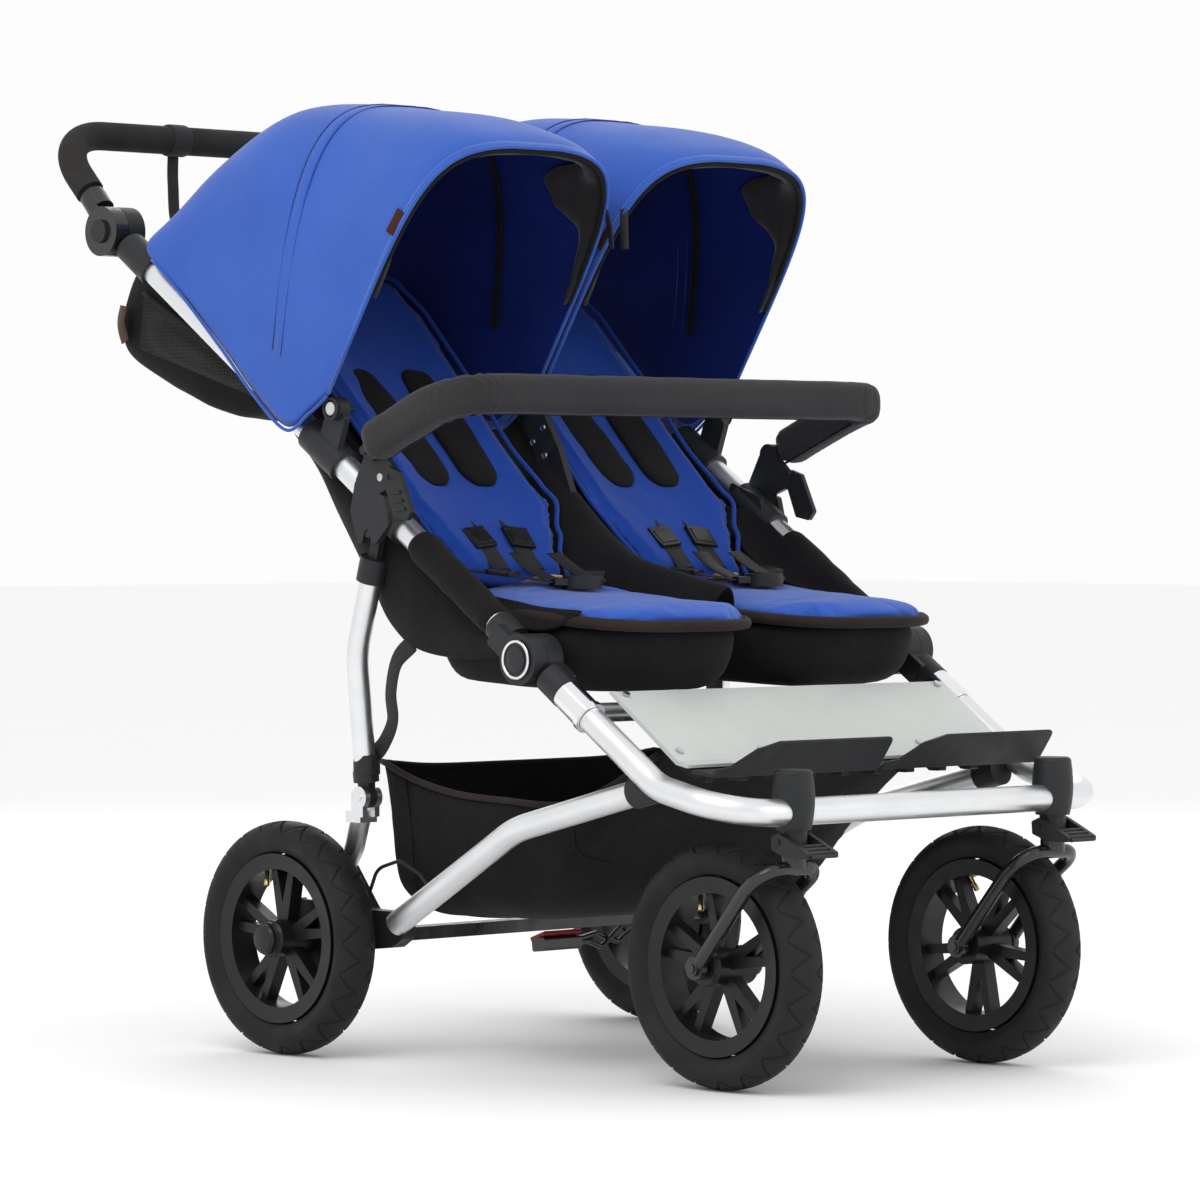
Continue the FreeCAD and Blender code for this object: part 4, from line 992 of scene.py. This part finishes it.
def make_adjuster(name, centre, face, along, body):
    """A ladder buckle: frame, two bars and the folded web under it."""
    side = along.cross(face).normalized()
    turn = Matrix((side, along, face)).transposed()
    bars = ((along * 0.012, (0.033, 0.005, 0.005)), (along * -0.012, (0.033, 0.006, 0.006)),
            (side * 0.0145, (0.004, 0.028, 0.005)), (side * -0.0145, (0.004, 0.028, 0.005)),
            (face * 0.0012, (0.025, 0.020, 0.004)))
    parts = [block(f"{name}_{number}", centre + shift, size, GLOSSY, turn)
             for number, (shift, size) in enumerate(bars)]
    put_pair(join(name, parts), body)


def make_buckle_straps():
    """Tongues that enter the round buckle, the lap straps and the peach crotch tab."""
    centre = place(SEAT_MIDDLE, -28, 515)
    for number, (x, y) in enumerate(((-30, 10), (30, 10), (-24, 22), (24, 22))):
        way = Vector((x, y, 0)).normalized()
        turn = Matrix((Vector((-way.y, way.x, 0)), way, UP)).transposed()
        tongue = block(f"right_tongue_{number}", centre + way * 0.027, (0.016, 0.016, 0.008), GLOSSY,
                       turn)
        put_pair(tongue, "chassis")
    for number, side in enumerate((-1, 1)):
        points = [centre + Vector((side * 0.030, 0.012, 0)),
                  centre + Vector((side * 0.055, 0.045, 0.006)),
                  place(SEAT_MIDDLE + side * 78, 60, 527)]
        put_pair(strap(f"right_lap_web_{number}", points, UP, WEB_WIDE, WEB_THICK, WEBBING), "chassis")
        tail = [place(SEAT_MIDDLE + side * 27, 44, 545), place(SEAT_MIDDLE + side * 30, 18, 529),
                centre + Vector((side * 0.028, 0.016, 0.002))]
        put_pair(strap(f"right_chest_web_{number}", tail, Vector((0, -0.6, 1)), 0.022, 0.0018, WEBBING),
                 "chassis")
        way = (points[2] - points[1]).normalized()
        make_adjuster(f"right_lap_adjuster_{number}", points[1].lerp(points[2], 0.3) + UP * 0.002, UP,
                      way, "chassis")
    tab = [place(SEAT_MIDDLE - 20, 44, 513), place(SEAT_MIDDLE, 28, 521),
           place(SEAT_MIDDLE + 26, 14, 517), place(SEAT_MIDDLE + 44, 0, 508)]
    put_pair(strap("right_crotch_tab", tab, UP, 0.022, 0.003, PEACH), "chassis")


# ---------------------------------------------------------------- bumper bar
BUMPER_HALF = [(-314, 113, 659), (-314, 62, 681), (-313, 12, 701), (-306, -18, 709), (-288, -33, 712),
               (-255, -37, 713), (-120, -38, 713)]
SLEEVE_WIDE, SLEEVE_HIGH = 0.0185, 0.0212


def make_bumper():
    """Padded cloth sleeve over the bar, creased at its bends, with a zip seam underneath."""
    points = [place(*point) for point in BUMPER_HALF] + [place(0, -38, 713)]
    points += [place(-x, y, z) for x, y, z in reversed(BUMPER_HALF)]
    path = smooth_path(points, 150)
    rings = []
    for index, (point, direction) in enumerate(zip(path, tangents(path))):
        side = direction.cross(UP).normalized()
        up = side.cross(direction)
        end = min(1.0, (min(index, len(path) - 1 - index) + 0.6) / 3) ** 0.5
        rings.append([point + side * (across * SLEEVE_WIDE * end) + up * (lift * SLEEVE_HIGH * end)
                      for across, lift in super_ellipse(32, 3.0)])
    cover = loft("bumper_cover", rings, BLACK_SOFT)

    def crease(point, normal):
        bend = max(0.0, 1 - abs(abs(point.x) - 0.296) / 0.05)
        run = 0.0018 * bend * sin(point.x * 900 + point.y * 700)
        return normal * (run + 0.0008 * ripple(point, 0.035, 2) + 0.0004 * ripple(point, 0.012, 4))
    displace(cover, crease)
    subdivide(cover)
    put(cover, "bumper", "bumper_bar")
    seam = []
    for point, direction in list(zip(path, tangents(path)))[3:-3]:
        side = direction.cross(UP).normalized()
        seam.append(point - side * 0.012 - UP * 0.0205)
    put(pipe("bumper_seam", seam, 0.0014, BLACK, sides=6, count=0), "bumper")


# ---------------------------------------------------------------- basket
# Each row: how far back, the rim's height, the floor's height, and half the width there.
BASKET_RIM = [(-218, 342, 341, 208), (-150, 305, 286, 214), (-98, 286, 236, 216), (-50, 282, 180, 216),
              (0, 284, 160, 216), (80, 288, 156, 216), (150, 300, 155, 214), (196, 314, 160, 211),
              (206, 317, 200, 209), (213, 318, 300, 206), (215, 318, 316, 205)]


def make_basket():
    """Cloth tub slung between the lower tubes, its sides pulled in, its rim bound and scooped."""
    stations = smooth_path([Vector((y, z, 0)) for y, z, _, _ in BASKET_RIM], 64)
    floors = smooth_path([Vector((low, half, 0)) for _, _, low, half in BASKET_RIM], 64)
    rows = []
    for (y, z, _), (low, half, _) in zip(stations, floors):
        line = []
        for step in range(45):
            angle = pi * step / 44
            c, s = cos(angle), sin(angle)
            depth = abs(s) ** 0.36
            x = -half * copysign(abs(c) ** 0.30, c) * (1 - 0.05 * sin(pi * depth))
            line.append(place(x, y, z - (z - low) * depth - 5 * sin(pi * step / 44) ** 6))
        rows.append(line)
    tub = skin("basket_cloth", rows, BLACK, 0.002, offset=0)
    crumple(tub, (0.004, 0.10, 2), (0.0016, 0.035, 3))
    subdivide(tub)
    put(tub, "chassis", "basket")
    rims = (("right", [row[0] for row in rows], 0.0035), ("left", [row[-1] for row in rows], 0.0035),
            ("front", rows[0], 0.003), ("rear", rows[-1], 0.003))
    for name, line, radius in rims:
        put(pipe(f"basket_rim_{name}", line, radius, PIPING, count=0), "chassis")
    for number, station in enumerate((14, 40)):
        seam = [point + Vector((-0.0015 if point.x < 0 else 0.0015, 0, 0)) for point in rows[station]]
        put(pipe(f"basket_seam_{number}", seam, 0.0014, BLACK, sides=6, count=0), "chassis")


# ---------------------------------------------------------------- rear pocket
POCKET = [(604, 893), (640, 889), (676, 845), (688, 792), (660, 760), (570, 724), (478, 695), (410, 716),
          (404, 738), (468, 800), (540, 846)]
BAG_HALF = 200


def make_pocket():
    """Sagging bag behind the seats, with a net panel at each end, a bound mouth and a blank patch."""
    loop = [Vector((0, y, z)) for y, z in POCKET]
    ring = smooth_path(loop + loop[:1], 56)[:-1]
    middle = sum(ring, Vector()) / len(ring)
    rings = []
    for step in range(31):
        across = -1 + step / 15
        edge = min(1.0, (1 - abs(across)) * 12 + 0.5) ** 0.22
        sag = 1 + 0.03 * (1 - across * across)
        rings.append([place(BAG_HALF * across, middle.y + (point.y - middle.y) * edge * sag,
                            middle.z + (point.z - middle.z) * edge * sag) for point in ring])
    bag = loft("rear_bag", rings, BLACK)
    crumple(bag, (0.004, 0.08, 4), (0.0016, 0.03, 5))
    subdivide(bag)
    put(bag, "upper_frame", "rear_pocket")
    for name, across in (("right", -1), ("left", 1)):
        rows = []
        for row in range(13):
            bulges = [6 * sin(pi * step / 16) * sin(pi * row / 12) for step in range(17)]
            rows.append([place(across * (BAG_HALF + 1 + bulge), *side_spot(step / 16, row / 12))
                         for step, bulge in enumerate(bulges)])
        net = skin(f"bag_net_{name}", rows, NET, 0.0014, offset=0, levels=1)
        put(net, "upper_frame")
        put(pipe(f"bag_net_hem_{name}", rows[-1], 0.0028, PIPING, sides=8, count=0), "upper_frame")
    patch = [place(-203, 664, 826), place(-205, 667, 806), place(-203, 662, 785)]
    put(strap("bag_patch", patch, Vector((-1, 0.4, 0)), 0.026, 0.002, LEATHER), "upper_frame")
    mouth = [place(x, 622 + 10 * cos(x / 60), 893) for x in range(-190, 191, 10)]
    put(pipe("bag_mouth", mouth, 0.004, PIPING, count=0), "upper_frame")


def side_spot(u, v):
    """A place on the bag's end: u along its length from the seat outwards, v up from its floor."""
    low = Vector((0, 430, 716)).lerp(Vector((0, 640, 776)), u)
    high = Vector((0, 452, 772)).lerp(Vector((0, 628, 856)), u)
    spot = low.lerp(high, v * (0.55 + 0.25 * u))
    return spot.y, spot.z


# ---------------------------------------------------------------- tube wraps and straps
WRAP_START, WRAP_LONG = 66, 146
WRAP_RADIUS, WRAP_LEAST = 0.0178, 0.0152


def make_wraps():
    """Cloth sleeves laced round the side tubes above the fold discs."""
    rings = []
    side = Vector((1, 0, 0))
    for step in range(50):
        share = step / 49
        centre = on_tube(WRAP_START + WRAP_LONG * share)
        ends = min(1.0, (min(step, 49 - step) + 2.5) / 5) ** 0.3
        ring = []
        for k in range(28):
            angle = 2 * pi * k / 28
            direction = side * cos(angle) + TUBE_FACE * sin(angle)
            radius = WRAP_RADIUS * ends + 0.0012 * ripple(centre + direction * 0.02, 0.02, 5)
            ring.append(centre + direction * max(radius, WRAP_LEAST))
        rings.append(ring)
    wrap = loft("right_tube_wrap", rings, BLACK, caps=False)
    solid = wrap.modifiers.new("thickness", "SOLIDIFY")
    solid.thickness = 0.001
    subdivide(wrap)
    for piece in put_pair(wrap, "upper_frame"):
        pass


GRIP_REACH = 166
WRIST_SIDE = -98


def make_handle_straps():
    """A webbing sleeve on the grip with a wrist strap that hangs to the bag's mouth."""
    centre = on_handle(GRIP_REACH, WRIST_SIDE)
    sleeve = lathe("grip_sleeve", centre - Vector((0.013, 0, 0)), (1, 0, 0),
                   [(0, 0.0166), (0.0005, 0.0182), (0.003, 0.0188), (0.023, 0.0188), (0.0255, 0.0182),
                    (0.026, 0.0166)], BLACK_SOFT)
    put(sleeve, "handle")
    drop = [centre + Vector((0, 0.004, -0.016)), centre + Vector((0, 0.004, -0.05)),
            centre + Vector((0, -0.004, -0.10)),
            place(WRIST_SIDE, 655, 905), place(WRIST_SIDE, 630, 890)]
    wrist = strap("wrist_strap", drop, Vector((0, 1, 0.2)), 0.016, 0.002, WEBBING, count=40)
    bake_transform(wrist)


def make_leg_strap():
    """The wide loop from the seat's underside back to the rear leg."""
    points = [place(-246, 120, 450), place(-246, 146, 430), place(-246, 156, 396), place(-247, 152, 366),
              place(-250, 162, 342), place(-254, 176, 326)]
    put_pair(strap("right_leg_strap", points, Vector((-1, 0.2, 0)), 0.022, 0.002, WEBBING, count=40),
             "chassis")
    centre = place(-262, 177, 318)
    wrap = lathe("right_leg_band", centre - UP * 0.011, (0, 0, 1),
                 [(0, 0.0125), (0.001, 0.0145), (0.021, 0.0145), (0.022, 0.0125)], WEBBING)
    put_pair(wrap, "rear_legs")


# ---------------------------------------------------------------- wheels
TYRE_SECTION = [(-10, 96), (-15, 93), (-18.5, 97), (-23.5, 104), (-25, 110), (-23, 116.5), (-18.5, 121.5),
                (-11, 125.2), (0, 126.9)]
TREAD_TURNS = 22
TREAD_DEEP = 1.7
SIDE_RINGS = ((100.6, 0.9), (106.5, 0.7), (110.5, 0.5))


def zigzag(value):
    """A triangle wave between 0 and 1."""
    return abs(2 * (value % 1.0) - 1)


def tread_depth(turn, across, radius):
    """How deep the tread is cut, in millimetres, at a turn (0..1) and a place across the tyre.

    Each side has a zigzag groove that runs from the middle rib out over the shoulder, and thin rings.
    """
    wide = abs(across) + max(0.0, 125.0 - radius)
    shift = 0.5 if across > 0 else 0.0
    line = 4.0 + 29.0 * zigzag(turn * TREAD_TURNS + shift)
    depth = 0.0
    if abs(wide - line) < 2.4 and wide < 31:
        depth = TREAD_DEEP
    if 3.6 < wide < 5.4:
        depth = TREAD_DEEP
    for ring_radius, deep in SIDE_RINGS:
        if abs(radius - ring_radius) < 0.7 and abs(across) > 14:
            depth = max(depth, deep)
    return depth


def make_tyres():
    """Four treaded air tyres, each turned about its own wheel's axle."""
    section = TYRE_SECTION + [(-w, r) for w, r in reversed(TYRE_SECTION[:-1])]
    profile = [(p.x, p.y) for p in smooth_path([Vector((w, r, 0)) for w, r in section], 84)]
    profile += [(8, 97), (-8, 97)]
    steps = 900
    rings = []
    for turn in range(steps):
        angle = 2 * pi * turn / steps
        line = []
        for across, radius in profile:
            deep = tread_depth(turn / steps, across, radius)
            away = radius - deep * min(1.0, max(0.0, (radius - 98) / 24))
            inward = across * (1 - deep / 60)
            line.append(Vector((inward, away * cos(angle), away * sin(angle))) / 1000)
        rings.append(line)
    for end in ("front", "rear"):
        for side in ("right", "left"):
            spin = Vector(JOINTS[f"{end}_{side}_spin"]["pos_m"])
            turned = [[spin + point for point in line] for line in rings]
            tyre = loft(f"{end}_{side}_treaded_tyre", turned, RUBBER, closed=True)
            put(tyre, f"{end}_{side}_wheel", f"{end}_{side}_tyre")


# ---------------------------------------------------------------- small hard trim
def ring(name, centre, axis, inside, outside, height, material):
    """A flat ring whose back lies on centre."""
    edge = 0.25 * height
    return lathe(name, centre, axis, [(0, inside), (height - edge, inside), (height, inside + edge),
                                      (height, outside - edge), (height - edge, outside), (0, outside)],
                 material, closed=True)


def stud(name, centre, axis, radius, height, material):
    """A low domed button or screw head whose back lies on centre."""
    return lathe(name, centre, axis, [(0, radius), (0.55 * height, radius),
                                      (0.85 * height, 0.85 * radius),
                                      (height, 0.45 * radius), (height, 0.0002)], material, steps=28)


def make_frame_trim():
    """Rings and buttons on the hinges, and the screws of the side fittings."""
    outward_x = Vector((-1, 0, 0))
    disc_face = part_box("hinge_discs")[0][0] * 1000
    fold = place(disc_face, FOLD_FRONT, FOLD_HEIGHT)
    put_pair(ring("right_fold_ring", fold, outward_x, 0.0175, 0.0205, 0.0016, CHROME), "upper_frame")
    put_pair(stud("right_fold_cap", fold, outward_x, 0.0135, 0.0022, PLASTIC), "upper_frame")
    hinge = place(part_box("canopy_clamps")[0][0] * 1000, 193, 700)
    put_pair(ring("right_canopy_ring", hinge, outward_x, 0.0095, 0.0125, 0.0014, PLASTIC), "upper_frame")
    put_pair(stud("right_canopy_button", hinge, outward_x, 0.0070, 0.0022, SILVER_PLASTIC), "upper_frame")
    lever_pin = place(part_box("latch_housings")[0][0] * 1000, 92, 626)
    put_pair(stud("right_latch_pin_head", lever_pin, outward_x, 0.0042, 0.0012, STEEL), "upper_frame")
    bracket_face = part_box("centre_bracket")[0][0] * 1000
    for number, (y, z) in enumerate(((160, 683), (176, 667), (157, 652))):
        head = stud(f"bracket_screw_{number}", place(bracket_face, y, z), outward_x, 0.0036, 0.0014,
                    STEEL)
        put(head, "upper_frame")


VALVE = [(-0.004, 0.0036), (0.004, 0.0036), (0.0045, 0.0026), (0.014, 0.0026), (0.015, 0.0033),
         (0.021, 0.0033), (0.022, 0.0024)]


def make_hub_trim():
    """A cap ring round each hub and a tyre valve in the rim."""
    turn = radians(70)
    for end in ("front", "rear"):
        for side, sign in (("right", -1), ("left", 1)):
            wheel = f"{end}_{side}_wheel"
            spin = Vector(JOINTS[f"{end}_{side}_spin"]["pos_m"])
            if end == "rear":
                cap = stud(f"rear_{side}_hub_cap", spin + Vector((sign * 0.0296, 0, 0)), (sign, 0, 0),
                           0.0165,
                           0.0092, GLOSSY)
                put(cap, wheel)
            hub = ring(f"{end}_{side}_hub_ring", spin + Vector((sign * 0.0285, 0, 0)), (sign, 0, 0),
                       0.012, 0.0185,
                       0.0022, GLOSSY)
            put(hub, wheel)
            for face in (-1, 1):
                lip = ring(f"{end}_{side}_rim_lip_{'inner' if face < 0 else 'outer'}",
                           spin + Vector((sign * face * 0.0148, 0, 0)), (sign * face, 0, 0), 0.0845,
                           0.0915,
                           0.0022, RIM)
                put(lip, wheel)
            root = spin + Vector((sign * 0.006, 0.080 * cos(turn), 0.080 * sin(turn)))
            inward = Vector((sign * 0.35, -cos(turn), -sin(turn)))
            valve = lathe(f"{end}_{side}_valve", root, inward, VALVE, BRASS, steps=16)
            put(valve, wheel)


def make_pedal_cover():
    """Red moulded cover on the brake pedal's tread."""
    centre = place(57, 218, 115)
    turn = Matrix.Rotation(radians(-20), 3, "X")
    cover = block("pedal_cover", centre, (0.058, 0.026, 0.005), RED, turn, bevel=0.0016)
    put(cover, "brake")


def make_plate_line():
    """The line pressed across the footplate above its front bend."""
    for number, share in enumerate((0.20, 0.27)):
        y, z = -283 + 99 * share, 334.2 + 71 * share
        line = [place(x, y, z) for x in range(-205, 206, 10)]
        put(pipe(f"plate_line_{number}", line, 0.0011, SILVER_PLASTIC, sides=8, count=0, flat=0.6),
            "chassis")


make_stage()
dress_frame()
make_hood()
make_hood_seams()
make_hood_inside()
make_hood_trim()
make_back_shell()
make_liner()
make_front_pad()
make_seat_scoop()
make_side_wings()
make_seat_ridge()
make_harness()
make_buckle_straps()
make_bumper()
make_basket()
make_pocket()
make_wraps()
make_handle_straps()
make_leg_strap()
make_tyres()
make_frame_trim()
make_hub_trim()
make_pedal_cover()
make_plate_line()
